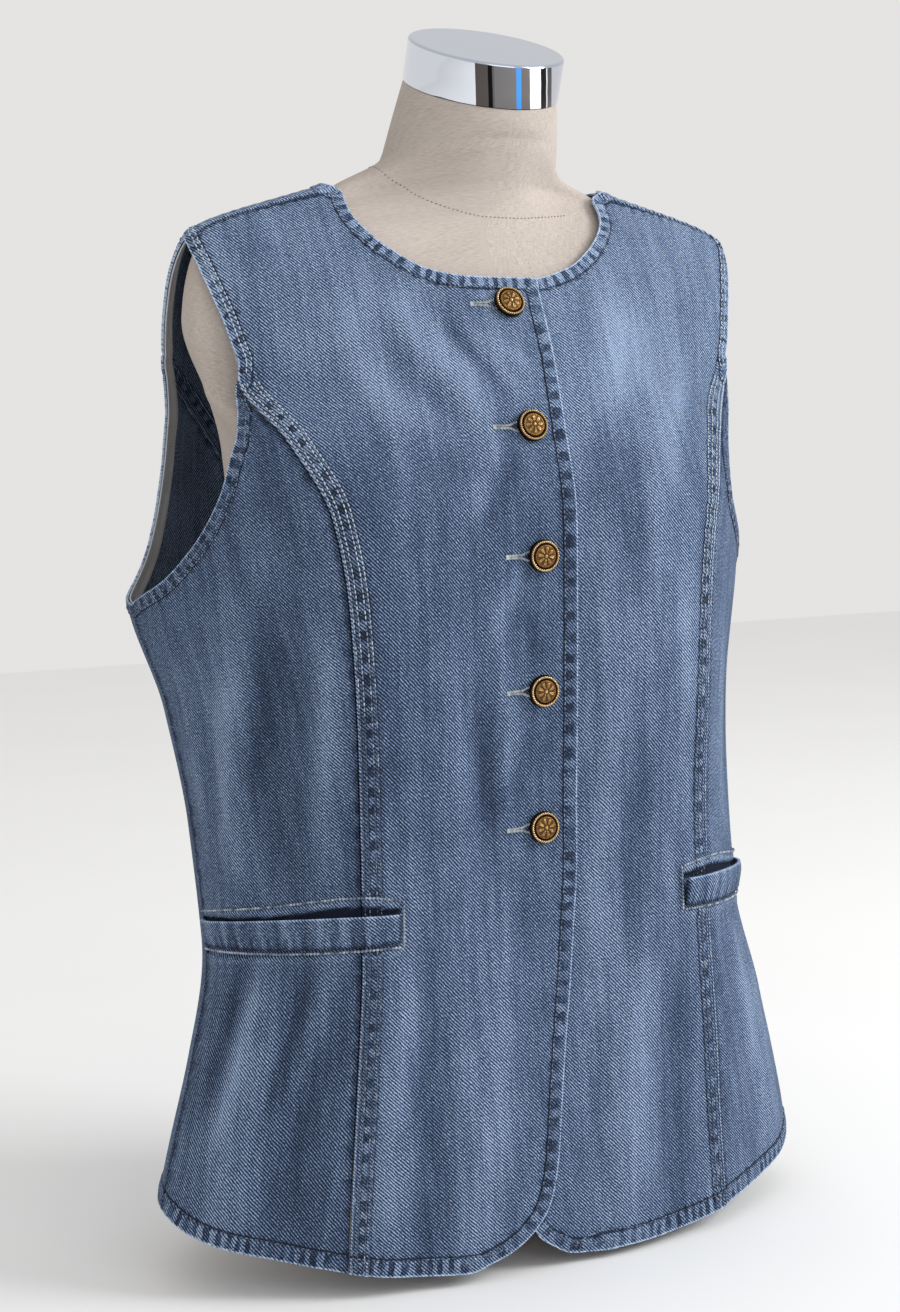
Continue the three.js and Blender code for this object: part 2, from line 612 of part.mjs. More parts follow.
// Point on the body of the dress form: a smooth section through five points set in from the cloth
function formBodyPoint(u, z) {
  const a = Math.min(Math.abs(u), 3.99999);
  const level = Math.min(z, 574);
  const names = ['front', 'seam', 'side', 'blade', 'back'];
  const at = names.map((name, k) => skin(k, level).addScaledVector(outward(k, level), -insetAt[name](z)));
  at[0].x = 0;
  at[4].x = 0;
  const across = (p) => new THREE.Vector3(-p.x, p.y, p.z);
  const knots = [across(at[1]), at[0], at[1], at[2], at[3], at[4], across(at[3])];
  const i = Math.floor(a);
  const mix = (k) => hermite(a - i, knots[i + 1][k], knots[i + 2][k],
    (knots[i + 2][k] - knots[i][k]) / 2, (knots[i + 3][k] - knots[i + 1][k]) / 2);
  const height = z + (mix('z') - level) * smooth(z, 430, 520);
  return new THREE.Vector3(u < 0 ? -mix('x') : mix('x'), mix('y'), height);
}

// Point on the dress form, from the base to the level part of the neck
function formPoint(u, z) {
  const body = formBodyPoint(u, z);
  const centre = new THREE.Vector3(0, 0, body.z);
  const low = Math.max(1 - z / baseRounding, 0);
  const rounding = 34 * (1 - Math.sqrt(1 - low * low));
  body.lerp(centre, rounding / body.distanceTo(centre));
  const angle = u * Math.PI / 4;
  const round = new THREE.Vector3(neckAt.x(z) + neckAt.wide(z) * Math.sin(angle),
    neckAt.y(z) - neckAt.deep(z) * Math.cos(angle), z);
  const steeper = smooth(u, 0.6, 1.6) * (1 - smooth(u, 2.6, 3.6));
  return body.lerp(round, smooth(z, neckStart(u), neckMeet - 8 * steeper));
}

// Upper neck: rings that turn from level to the slant of the cap
function neckRing(step, parts) {
  const share = step / neckRings;
  const end = capBase().addScaledVector(capAxis(), -0.35);
  const middle = new THREE.Vector3(neckAt.x(neckTop), neckAt.y(neckTop), neckTop).lerp(end, share);
  const radius = neckAt.wide(neckTop) + share * (capRadius - 0.6 - neckAt.wide(neckTop));
  const slant = share * capTilt * Math.PI / 180;
  const points = [];
  for (let k = 0; k < parts; k++) {
    const angle = 2 * Math.PI * k / parts;
    const ahead = -radius * Math.cos(angle);
    points.push(new THREE.Vector3(middle.x + radius * Math.sin(angle), middle.y + ahead * Math.cos(slant),
      middle.z + ahead * Math.sin(slant)));
  }
  return points;
}

// Dress form: closed rings from the flat base to the slanted top of the neck
function formBody() {
  const parts = 32;
  const heights = [0, 8, 20, 38, 62, 100, 145, 190, 235, 280, 320, 355, 385, 410, 435, 458, 480, 500,
    518, 532, 544, 554, 562, 570, 578, 586, 595.5];
  const rings = [];
  for (const z of heights) {
    const ring = [];
    for (let k = 0; k < parts; k++) ring.push(formPoint(k * 8 / parts > 4 ? k * 8 / parts - 8 : k * 8 / parts, z));
    rings.push(ring);
  }
  for (let step = 1; step <= neckRings; step++) rings.push(neckRing(step, parts));
  const positions = [];
  for (const ring of rings) for (const p of ring) positions.push(p.x, p.y, p.z);
  const top = capBase().addScaledVector(capAxis(), -0.35);
  positions.push(0, 0, 0, top.x, top.y, top.z);
  const low = rings.length * parts;
  const last = low - parts;
  const faces = [];
  for (let k = 0; k < parts; k++) {
    const next = (k + 1) % parts;
    faces.push(low, next, k);
    for (let a = 0; a < last; a += parts) {
      const b = a + parts;
      faces.push(a + k, a + next, b + next, a + k, b + next, b + k);
    }
    faces.push(last + k, last + next, low + 1);
  }
  return geometryOf(positions, faces);
}

function capAxis() {
  const angle = capTilt * Math.PI / 180;
  return new THREE.Vector3(0, -Math.sin(angle), Math.cos(angle));
}

function capBase() {
  const centre = new THREE.Vector3(capCentre.x, capCentre.y, capCentre.z);
  return centre.addScaledVector(capAxis(), -capHeight);
}

// Neck cap: a short polished drum with a rounded rim
function neckCap() {
  const profile = [
    { r: 0, h: 0 }, { r: capRadius - 0.6, h: 0 }, { r: capRadius, h: 0.8 }, { r: capRadius, h: capHeight - 1.6 },
    { r: capRadius - 0.5, h: capHeight - 0.5 }, { r: capRadius - 1.8, h: capHeight }, { r: 0, h: capHeight },
  ];
  const turn = new THREE.Quaternion().setFromUnitVectors(new THREE.Vector3(0, 0, 1), capAxis());
  return turned(profile, 32, capBase(), turn);
}

function addPart(group, name, geometry, color, metalness, roughness) {
  const mesh = new THREE.Mesh(geometry, new THREE.MeshStandardMaterial({ color, metalness, roughness }));
  mesh.name = name;
  group.add(mesh);
}

const group = new THREE.Group();
const flat = () => 0;
const sides = [
  { word: 'right', side: -1, edge: upperEdge, lift: lapLift },
  { word: 'left', side: 1, edge: lowerEdge, lift: -lapLift },
];
const back = placed(backNodes(), 1, flat);
for (const s of sides) {
  const front = placed(frontNodes(s.side, s.edge), s.side, lapAt(s.side, s.lift));
  const sideFront = placed(sideFrontNodes(s.side), s.side, flat);
  const sideBack = placed(sideBackNodes(s.side), s.side, flat);
  addPart(group, `front_${s.word}`, cloth(front, s.side), denimBlue, 0, 0.9);
  addPart(group, `side_front_${s.word}`, cloth(sideFront, s.side), denimBlue, 0, 0.9);
  addPart(group, `side_back_${s.word}`, cloth(sideBack, s.side), denimBlue, 0, 0.9);
  addPart(group, `pocket_welt_${s.word}`, welt(front, sideFront, s.side < 0), denimBlue, 0, 0.9);
  addPart(group, `armhole_facing_${s.word}`, facing(front, sideFront, sideBack, back, s.side), facingGrey, 0, 0.9);
}
addPart(group, 'back', cloth(back, 1), denimBlue, 0, 0.9);
buttonHeights.forEach((z, i) => addPart(group, `button_${i + 1}`, button(z), 0xb08a3e, 1, 0.4));
addPart(group, 'form_body', formBody(), linen, 0, 0.85);
addPart(group, 'neck_cap', neckCap(), 0xdadde0, 1, 0.1);

export default group;
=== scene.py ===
import math

import bpy
import numpy as np
from mathutils import Matrix


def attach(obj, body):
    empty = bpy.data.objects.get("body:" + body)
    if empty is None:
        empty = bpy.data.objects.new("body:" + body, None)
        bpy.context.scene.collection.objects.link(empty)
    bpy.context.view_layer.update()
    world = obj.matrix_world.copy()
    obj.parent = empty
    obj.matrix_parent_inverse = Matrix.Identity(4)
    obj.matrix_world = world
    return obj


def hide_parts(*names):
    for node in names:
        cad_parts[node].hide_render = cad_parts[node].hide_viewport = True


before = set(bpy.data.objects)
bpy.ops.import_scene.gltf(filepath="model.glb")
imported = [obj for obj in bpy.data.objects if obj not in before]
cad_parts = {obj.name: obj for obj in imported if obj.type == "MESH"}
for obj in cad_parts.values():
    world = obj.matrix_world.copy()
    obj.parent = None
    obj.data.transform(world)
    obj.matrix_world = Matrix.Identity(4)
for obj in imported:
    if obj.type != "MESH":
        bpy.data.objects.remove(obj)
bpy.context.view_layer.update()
print("frame loaded")

# camera: turned round the object, looking a little down, very slightly rolled
camera = {"place": (-0.5279, -1.1056, 0.4189), "yaw": 25.3, "pitch": 4.6, "roll": -2.0, "lens": 60.42}

# outer shape of the worn vest in millimetres, one row for each height
shape = [
    # z, frontY, seamX, seamY, sideX, sideY, backSeamX, backSeamY, backY
    (0, -98, 115, -82, 200, -12, 123, 79, 86),
    (60, -97, 111, -84, 188, -18, 117, 81, 88),
    (120, -95, 107, -88, 172, -19, 107, 83, 90),
    (180, -94, 103, -90, 159, -12, 99, 86, 94),
    (240, -93, 102, -91, 160, -1, 99, 92, 99),
    (300, -97, 103, -95, 166, 12, 103, 98, 104),
    (360, -101, 106, -97, 182, 18, 113, 102, 108),
    (400, -103, 112, -95, 185, 15, 114, 103, 109),
    (440, -95, 127, -76, 182, 5, 113, 99, 107),
    (472, -87, 143, -53, 178, -4, 110, 93, 101),
    (510, -72, 130, -55, 171, -15, 106, 81, 88),
    (547, -54, 108, -45, 158, -24, 98, 54, 59),
    (575, -38, 50, -33, 79, -25, 50, 30, 34),
]
# how far the dress form lies inside the cloth
inset = [
    # z, front, seam, side, blade, back
    (0, 26, 34, 62, 30, 24), (60, 22, 24, 46, 24, 20), (120, 18, 15, 28, 18, 14), (180, 17, 14, 24, 20, 14),
    (240, 18, 15, 34, 26, 15), (300, 16, 13, 46, 34, 12), (360, 14, 10, 58, 44, 9), (400, 13, 9, 60, 46, 7),
    (440, 10, 11, 50, 36, 6), (472, 8, 14, 34, 22, 6), (510, 4.6, 7, 13, 8, 6), (535, 3.4, 5.6, 9, 7, 6),
    (575, 3.4, 4, 5.4, 5.4, 5.3),
]
neck = [
    # z, x, y, half width, half depth
    (530, 0, -1, 80, 52), (551, 2, -3, 67, 51), (566, 5, -7, 58, 50), (580, 7, -12, 51, 48.5),
    (595.5, 8, -19, 47.3, 47.3),
]
neckTop = neck[-1][0]
baseRound = {"height": 62, "depth": 34}
cap = {"centre": (8, -43.5, 646.4), "radius": 42, "height": 22.5, "tilt": 24}
hem = [(0, 5.2), (0.45, 6), (0.85, 9.8), (1.12, 15), (1.4, 21.6), (1.7, 29.8), (2, 40), (2.4, 46), (3, 40),
       (4, 31)]
hemSlant = 0.015
upperEdge = [
    (50.6, 6.9), (32, 12.2), (13.6, 23.9), (4.7, 35.7), (-0.9, 55.4), (-5.1, 88.8), (-8.9, 120.4),
    (-13.4, 156), (-17.2, 192.5), (-18.6, 205), (-20, 231), (-20.5, 258), (-20.5, 284), (-20.5, 311),
    (-20.5, 337),
    (-20.5, 363), (-20.5, 390), (-20.5, 416), (-20.5, 442), (-20.5, 469), (-20.5, 495),
]
lowerEdge = [
    (28.5, 4.8), (8.9, 6.6), (-2.3, 12.2), (-10.5, 18.6), (-14.8, 28), (-17.5, 60), (-18.4, 110), (-19, 152),
    (-19.6, 192.5), (-19.8, 205), (-20.2, 231), (-20.5, 258), (-20.5, 284), (-20.5, 311), (-20.5, 337),
    (-20.5, 363), (-20.5, 390), (-20.5, 416), (-20.5, 442), (-20.5, 469), (-20.5, 495),
]
neckline = [(-0.157, 521.4), (0.15, 523), (0.325, 528.6), (0.475, 538.8), (0.66, 552), (0.93, 562.8),
            (1.38, 571), (2, 574)]
backNeckline = [(2.5, 574), (2.95, 572.5), (3.3, 570.5), (3.65, 569), (4, 568.5)]
buttonHeights = [508, 444, 378, 308, 236]
seamRows = [12.6, 30, 48, 66, 88, 112, 136, 160, 184, 200.1, 222, 246, 272, 298, 324, 350, 376, 400, 424,
            448, 472]
sideRows = [40, 53, 68, 83, 100, 118, 137, 155, 178.6, 191.8, 205, 221, 238, 256, 274, 291, 307, 321, 335,
            347, 358.5]
backRows = [40, 60, 82, 105, 128, 151, 174, 197, 220, 243, 266, 290, 314, 338, 362, 385, 407, 428, 449,
            467, 482]
armholeLowFront = [(1, 472), (1.06, 461), (1.18, 448), (1.31, 432.5), (1.43, 412.5), (1.57, 389.5),
                   (1.75, 370.5), (2, 358.5)]
armholeHighFront = [(1.003, 480), (1.08, 491), (1.18, 501.5), (1.31, 512.6), (1.45, 523.5), (1.6, 533),
                    (1.8, 541.5), (2, 547.5)]
# the left armhole lies closer to the chest in front
armholeLowFrontLeft = [(1.048, 472), (1.076, 463), (1.085, 451), (1.092, 438), (1.11, 424), (1.175, 406),
                       (1.33, 391), (1.53, 378), (1.76, 366), (2, 358.5)]
armholeHighFrontLeft = [(1.06, 480), (1.14, 490.5), (1.24, 502), (1.35, 513), (1.48, 524), (1.62, 533),
                        (1.8, 541.5), (2, 547.5)]
armholeLowBack = [(2, 358.5), (2.2, 361.5), (2.38, 368), (2.52, 379), (2.61, 393), (2.67, 412), (2.69, 435),
                  (2.67, 457), (2.61, 471), (2.545, 482)]
armholeHighBack = [(2.5, 489), (2.455, 496), (2.41, 503), (2.35, 511.5), (2.29, 519.5), (2.21, 528),
                   (2.11, 537.5), (2, 547.5)]
backSeam = [(0, 3.12), (300, 3.2), (380, 3.26), (411, 3.25), (428, 3.19), (445, 3.07), (459, 2.93),
            (469, 2.78), (476, 2.66), (482, 2.545)]

# large folds of the solids: u and z of both ends, half width, depth
folds = [
    (-0.48, 514, -0.12, 446, 9, 1.8), (-0.62, 518, -0.42, 440, 12, 1.6), (-0.55, 512, -0.3, 452, 8, -1.4),
    (-0.3, 505, -0.02, 458, 9, -1.3), (-0.2, 350, -0.17, 250, 11, 1.5), (-0.46, 330, -0.45, 225, 14, 1.6),
    (-0.32, 320, -0.32, 232, 12, -1.6), (-1.42, 362, -1.66, 215, 13, 2.2), (-1.14, 372, -1.18, 230, 11, 1.6),
    (-1.27, 355, -1.4, 225, 13, -2), (-0.8, 160, -0.82, 10, 15, 2.4), (-0.62, 150, -0.64, 10, 14, -2.2),
    (-0.42, 160, -0.46, 8, 13, 2), (-1.5, 150, -1.54, 25, 18, 2.6), (-1.28, 145, -1.3, 20, 15, -2.2),
    (0.5, 514, 0.3, 446, 12, 1.6), (0.36, 380, 0.38, 235, 13, 1.6), (0.58, 470, 0.57, 290, 12, 1.4),
    (0.5, 160, 0.36, 12, 15, 2.4), (0.72, 150, 0.66, 12, 15, -2), (1.45, 150, 1.5, 25, 17, 2.4),
    (2.3, 150, 2.34, 48, 18, 2.4), (-2.3, 160, -2.36, 48, 18, -2.2), (3.5, 140, 3.46, 38, 18, 2.4),
    (-3.4, 150, -3.44, 38, 18, 2.2), (3.2, 330, 3.45, 240, 16, -2), (-3.2, 320, -3.5, 235, 16, -1.8),
]
# smaller creases that only the finished cloth has
creases = [
    (-0.22, 500, -0.03, 462, 4, 0.5), (-0.36, 512, -0.16, 468, 4, 0.5), (-0.27, 506, -0.08, 462, 4, -0.5),
    (-0.12, 492, 0.04, 474, 4, 0.45), (-0.16, 440, -0.34, 400, 6, 0.5), (-0.1, 428, -0.26, 396, 5, -0.5),
    (-0.12, 372, -0.3, 336, 6, 0.5), (-0.11, 354, 0.0, 322, 5, -0.5), (-0.1, 300, -0.24, 262, 6, 0.45),
    (-0.34, 300, -0.28, 240, 5, -0.5), (-1.1, 340, -1.16, 260, 6, 0.5), (-1.52, 330, -1.7, 240, 6, 0.6),
    (-1.34, 350, -1.52, 250, 7, -0.7), (-1.78, 330, -1.86, 235, 6, 0.5), (-1.2, 168, -1.3, 110, 5, 0.6),
    (-1.3, 170, -1.44, 90, 5, -0.7), (-1.55, 170, -1.66, 80, 6, 0.8), (-1.66, 170, -1.8, 100, 6, -0.7),
    (-1.08, 175, -1.1, 120, 5, -0.5), (-0.22, 200, -0.31, 43, 8, 0.6), (-0.7, 240, -0.74, 120, 7, 0.4),
    (0.3, 240, 0.22, 120, 8, 0.5), (0.55, 300, 0.5, 180, 8, -0.5), (0.8, 380, 0.78, 260, 7, 0.5),
    (0.45, 450, 0.5, 360, 8, -0.5), (0.7, 500, 0.66, 420, 7, 0.6), (1.2, 330, 1.26, 230, 7, 0.6),
    (1.5, 330, 1.62, 230, 8, 0.7), (1.38, 340, 1.45, 240, 6, -0.6), (1.3, 170, 1.36, 90, 6, 0.6),
    (1.7, 165, 1.76, 80, 6, 0.6), (2.6, 330, 2.7, 220, 9, 0.7), (-2.6, 330, -2.68, 220, 9, 0.7),
    (3.6, 420, 3.4, 330, 10, 0.7), (-3.55, 410, -3.4, 330, 10, -0.7), (3.9, 300, 3.8, 200, 9, 0.6),
    (-3.8, 260, -3.7, 150, 9, 0.6), (3.3, 200, 3.2, 100, 8, 0.6), (-2.8, 200, -2.8, 90, 8, 0.6),
]
# millimetres round the body for one step of u, about
foldScale = 112
# near the centre front the right front is raised and the left one lowered: fully up to hold, not past end
lap = {"lift": 1.35, "hold": 24, "end": 38}
wall = 1.4
seamGap = 0.5


def hermite(t, a, b, slopeA, slopeB):
    # cubic between two values with the given slopes
    values = (2 * t**3 - 3 * t**2 + 1) * a + (3 * t**2 - 2 * t**3) * b
    slopes = (t**3 - 2 * t**2 + t) * slopeA + (t**3 - t**2) * slopeB
    return values + slopes


def smooth(value, low, high):
    # 0 below low, 1 above high, eased between
    t = np.clip((value - low) / (high - low), 0, 1)
    return t * t * (3 - 2 * t)


def monotoneCurve(at, value):
    # cubic through rows; a slope is the weighted harmonic mean of its two steps, 0 where they turn
    at, value = np.asarray(at, float), np.asarray(value, float)
    gap = np.diff(at)
    step = np.diff(value) / gap
    slope = np.concatenate([step[:1], step[1:] * 0, step[-1:]])
    a, b = step[:-1], step[1:]
    weightA, weightB = 2 * gap[1:] + gap[:-1], gap[1:] + 2 * gap[:-1]
    turns = a * b > 0
    safeA, safeB = np.where(turns, a, 1), np.where(turns, b, 1)
    slope[1:-1] = np.where(turns, (weightA + weightB) / (weightA / safeA + weightB / safeB), 0)

    def curve(where):
        x = np.clip(where, at[0], at[-1])
        i = np.clip(np.searchsorted(at, x, side="right") - 1, 0, len(at) - 2)
        return hermite((x - at[i]) / gap[i], value[i], value[i + 1], slope[i] * gap[i], slope[i + 1] * gap[i])
    return curve


shapeAt = [monotoneCurve([r[0] for r in shape], [r[k] for r in shape]) for k in range(1, 9)]
insetAt = [monotoneCurve([r[0] for r in inset], [r[k] for r in inset]) for k in range(1, 6)]
neckAt = [monotoneCurve([r[0] for r in neck], [r[k] for r in neck]) for k in range(1, 5)]
hemAt = monotoneCurve([r[0] for r in hem], [r[1] for r in hem])
backSeamAt = monotoneCurve([r[0] for r in backSeam], [r[1] for r in backSeam])


def skin(u, z):
    # point of the vest's outer shape: u 0 centre front, 1 front seam, 2 side, 3 back seam, 4 centre back
    u, z = np.broadcast_arrays(np.asarray(u, float), np.asarray(z, float))
    turned = np.where(u > 4, u - 8, u)
    a = np.minimum(np.abs(turned), 3.99999)
    i = np.floor(a).astype(int)
    frontY, seamX, seamY, sideX, sideY, backSeamX, backSeamY, backY = [f(z) for f in shapeAt]
    knotX = np.stack([-seamX, seamX * 0, seamX, sideX, backSeamX, seamX * 0, -backSeamX])
    knotY = np.stack([seamY, frontY, seamY, sideY, backSeamY, backY, backSeamY])
    out = []
    for knot in (knotX, knotY):
        k = [np.take_along_axis(knot, (i + step)[None], 0)[0] for step in range(4)]
        out.append(hermite(a - i, k[1], k[2], (k[2] - k[0]) / 2, (k[3] - k[1]) / 2))
    return np.stack([np.where(turned < 0, -out[0], out[0]), out[1], z + 0 * out[1]], -1)


def outward(u, z):
    # unit normal: along u crossed with up z
    along = skin(u + 0.02, z) - skin(u - 0.02, z)
    rise = skin(u, np.minimum(z + 1, 575)) - skin(u, np.maximum(z - 1, 0))
    n = np.cross(along, rise)
    return n / np.linalg.norm(n, axis=-1, keepdims=True)


def foldHeight(table, u, z):
    # sum of rounded ridges: depth * exp(-(across / half width)^2), fading at both ends
    turned = np.where(u > 4, u - 8, u)
    total = np.zeros(np.shape(turned))
    for u0, z0, u1, z1, wide, deep in table:
        du, dz = (u1 - u0) * foldScale, z1 - z0
        pu, pz = (turned - u0) * foldScale, z - z0
        length = math.hypot(du, dz)
        t = (pu * du + pz * dz) / length**2
        across = (pu * dz - pz * du) / length
        total += deep * smooth(t, -0.25, 0.3) * (1 - smooth(t, 0.75, 1.25)) * np.exp(-((across / wide) ** 2))
    return total


def largeFolds(u, z):
    # the folds, faded out where the fronts overlap
    return foldHeight(folds, u, z) * smooth(np.abs(skin(u, z)[..., 0]), lap["hold"] / 2, lap["end"])


def acrossFront(x, z):
    # u with the wanted x near the centre front, by halving
    low, high = -np.ones(np.shape(x)), np.ones(np.shape(x))
    for _ in range(40):
        middle = (low + high) / 2
        under = skin(middle, z)[..., 0] < x
        low, high = np.where(under, middle, low), np.where(under, high, middle)
    return (low + high) / 2


def shifted(u, z, distance):
    # u moved sideways by a distance along the cloth
    rate = np.linalg.norm(skin(u + 0.01, z) - skin(u - 0.01, z), axis=-1) / 0.02
    return u + distance / rate


def edgeCurve(us, zs):
    # an edge through its rows, as a function of the share of rows passed
    at = np.linspace(0, 1, len(us))
    uAt, zAt = monotoneCurve(at, us), monotoneCurve(at, zs)
    return lambda share: np.stack([uAt(share), zAt(share)], -1)


def spacedCurve(rows):
    # the same by even distance along the edge
    us, zs = np.array(rows, float).T
    along = np.concatenate([[0], np.cumsum(np.hypot(np.diff(us) * 90, np.diff(zs)))])
    uAt, zAt = monotoneCurve(along, us), monotoneCurve(along, zs)
    return lambda share: np.stack([uAt(share * along[-1]), zAt(share * along[-1])], -1)


def netOf(left, right, low, high, columnSteps, rowSteps, power=1):
    # blends four edges that share their corners: both ways summed, less the corner blend;
    # a power keeps the top edge's pull high up
    s, v = columnSteps[None, :, None], rowSteps[:, None, None] ** power
    l, r = left(rowSteps)[:, None], right(rowSteps)[:, None]
    b, t = low(columnSteps)[None], high(columnSteps)[None]
    corners = ((1 - s) * (1 - v) * left(0.0) + s * (1 - v) * right(0.0)
               + (1 - s) * v * left(1.0) + s * v * right(1.0))
    return (1 - s) * l + s * r + (1 - v) * b + v * t - corners


def steps(count):
    # even steps with two extra ones close to each end
    return np.concatenate([[0, 0.12, 0.4], np.arange(1, count), [count - 0.4, count - 0.12, count]]) / count


def frontSteps(count):
    # the same with over a third of the rows in the top quarter, where the neckline runs
    even = steps(count)
    return np.where(even < 0.62, even * 0.75 / 0.62, 0.75 + (even - 0.62) * 0.25 / 0.38)


def hemCurve(left, right, side):
    # hem between two values of u: the hem table less a slant to one side
    def curve(share):
        u = left + share * (right - left)
        mirrored = np.where(u > 4, 8 - u, u)
        return np.stack([u, hemAt(mirrored) - side * hemSlant * skin(u, 10.0)[..., 0]], -1)
    return curve


def withEnds(us, zs, start, end):
    # an edge line that starts and ends exactly at the given corner points
    us, zs = np.array(us, float), np.array(zs, float)
    us[0], zs[0] = start
    if end is not None:
        us[-1], zs[-1] = end
    return us, zs


def frontSeamU(side, z):
    # place of the front seam round the body: near the left armhole it leans outwards
    return 1 + (side > 0) * 0.05 * smooth(z, 440, 476)


def frontNet(side, edge, columns, rows):
    # u and z of the right front or left front, between its edge, seam, hem and shoulder
    xs, zs = np.array(edge, float).T
    us = np.concatenate([acrossFront(xs, zs), [r[0] for r in neckline]])
    zs = np.concatenate([zs, [r[1] for r in neckline]])
    seamZ = np.array(seamRows, float)
    seamU = shifted(frontSeamU(side, seamZ), seamZ, -seamGap / 2)
    armhole = armholeHighFrontLeft if side > 0 else armholeHighFront
    startU, startZ = us[0], zs[0]
    base = hemCurve(startU, seamU[0], side)
    lowNodes = base(np.linspace(0, 1, 11))
    lowNodes[0] = startU, startZ
    rightU = np.concatenate([seamU, [r[0] for r in armhole]])
    rightZ = np.concatenate([seamZ, [r[1] for r in armhole]])
    rightU, rightZ = withEnds(rightU, rightZ, lowNodes[-1], None)
    low = edgeCurve(*lowNodes.T)
    tip, point = 547.5, 574.0
    high = lambda share: np.stack([2 + 0 * share, point + share * (tip - point)], -1)
    net = netOf(edgeCurve(us, zs), edgeCurve(rightU, rightZ), low, high, steps(columns), frontSteps(rows))
    near = smooth(frontSteps(rows), 0.97, 1.0)[:, None]
    net[..., 0] = shifted(net[..., 0], net[..., 1], -seamGap / 2 * near)
    return net


def sideNet(side, leftU, leftZ, rightU, rightZ, armhole, columns, rows):
    # u and z of a panel below the armhole, between its two seams
    low = hemCurve(leftU[0], rightU[0], side)
    leftU, leftZ = withEnds(leftU, leftZ, low(0.0), None)
    rightU, rightZ = withEnds(rightU, rightZ, low(1.0), None)
    raw = spacedCurve(armhole)

    def high(share):
        out = raw(share)
        out[..., 0] += (1 - share) * (leftU[-1] - raw(0.0)[0]) + share * (rightU[-1] - raw(1.0)[0])
        return out
    return netOf(edgeCurve(leftU, leftZ), edgeCurve(rightU, rightZ), low, high, steps(columns), steps(rows))


def backSeamEdge(z, way):
    # one edge of the back seam; the shift sideways grows where the seam lies slanted
    return shifted(backSeamAt(z), z, way * seamGap / 2 * (1 + 1.5 * smooth(z, 425, 465)))


def backNet(columns, rows):
    # u and z of the back, between the two back seams, hem and shoulders
    seamZ = np.array(backRows, float)
    seamU = backSeamEdge(seamZ, 1)
    us = np.concatenate([seamU, [r[0] for r in armholeHighBack]])
    zs = np.concatenate([seamZ, [r[1] for r in armholeHighBack]])
    low = hemCurve(us[0], 8 - us[0], 1)
    leftU, leftZ = withEnds(us, zs, low(0.0), None)
    rightU, rightZ = withEnds(8 - us, zs, low(1.0), None)
    half = [(2, 547.5), (2, 556.3), (2, 565.2), (2, 574)] + backNeckline
    top = np.array(half + [(8 - u, z) for u, z in half[-2::-1]], float)
    left, right, high = edgeCurve(leftU, leftZ), edgeCurve(rightU, rightZ), edgeCurve(*top.T)
    net = netOf(left, right, low, high, steps(columns), steps(rows), 3)
    near = smooth(np.linspace(0, 1, len(net)), 0.97, 1.0)[:, None] * smooth(np.abs(net[..., 0] - 4), 1.7, 1.9)
    net[..., 0] = shifted(net[..., 0], net[..., 1], seamGap / 2 * near * np.sign(4 - net[..., 0]))
    return net


def runAlong(line):
    # length from the first point of a line to each of its points
    return np.concatenate([[0], np.cumsum(np.linalg.norm(np.diff(line, axis=0), axis=1))])


def runAcross(net):
    # the same for every row of a net, from its first column
    stepLengths = np.linalg.norm(np.diff(net, axis=1), axis=2)
    return np.concatenate([np.zeros((len(net), 1)), np.cumsum(stepLengths, 1)], 1)


def distanceTo(points, line):
    # distance to the nearest segment of a line, and the length along the line to there
    flat = points.reshape(-1, 3)
    along = runAlong(line)
    chunks = np.array_split(flat, 1 + len(flat) // 3000)
    nearest = np.concatenate([np.argmin(((chunk[:, None] - line[None]) ** 2).sum(-1), 1) for chunk in chunks])
    best, place = np.full(len(flat), 1e9), np.zeros(len(flat))
    for shift in (-1, 0):
        i = np.clip(nearest + shift, 0, len(line) - 2)
        a, b = line[i], line[i + 1]
        t = np.clip(((flat - a) * (b - a)).sum(1) / np.maximum(((b - a) ** 2).sum(1), 1e-9), 0, 1)
        d = np.linalg.norm(flat - (a + t[:, None] * (b - a)), axis=1)
        closer = d < best
        best = np.where(closer, d, best)
        place = np.where(closer, along[i] + t * (along[i + 1] - along[i]), place)
    return best.reshape(points.shape[:-1]), place.reshape(points.shape[:-1])


def phaseOf(along, pitch, seed):
    # waves counted along an edge, with a slow wander
    quickWander = 0.16 * np.sin(along / (pitch * 0.83) + seed)
    slowWander = 0.22 * np.sin(along / (pitch * 2.3) + 2.3 * seed)
    return along / pitch + quickWander + slowWander


def ripple(along, pitch, seed):
    # uneven wave along an edge: a sine whose phase wanders
    return np.sin(2 * math.pi * phaseOf(along, pitch, seed))


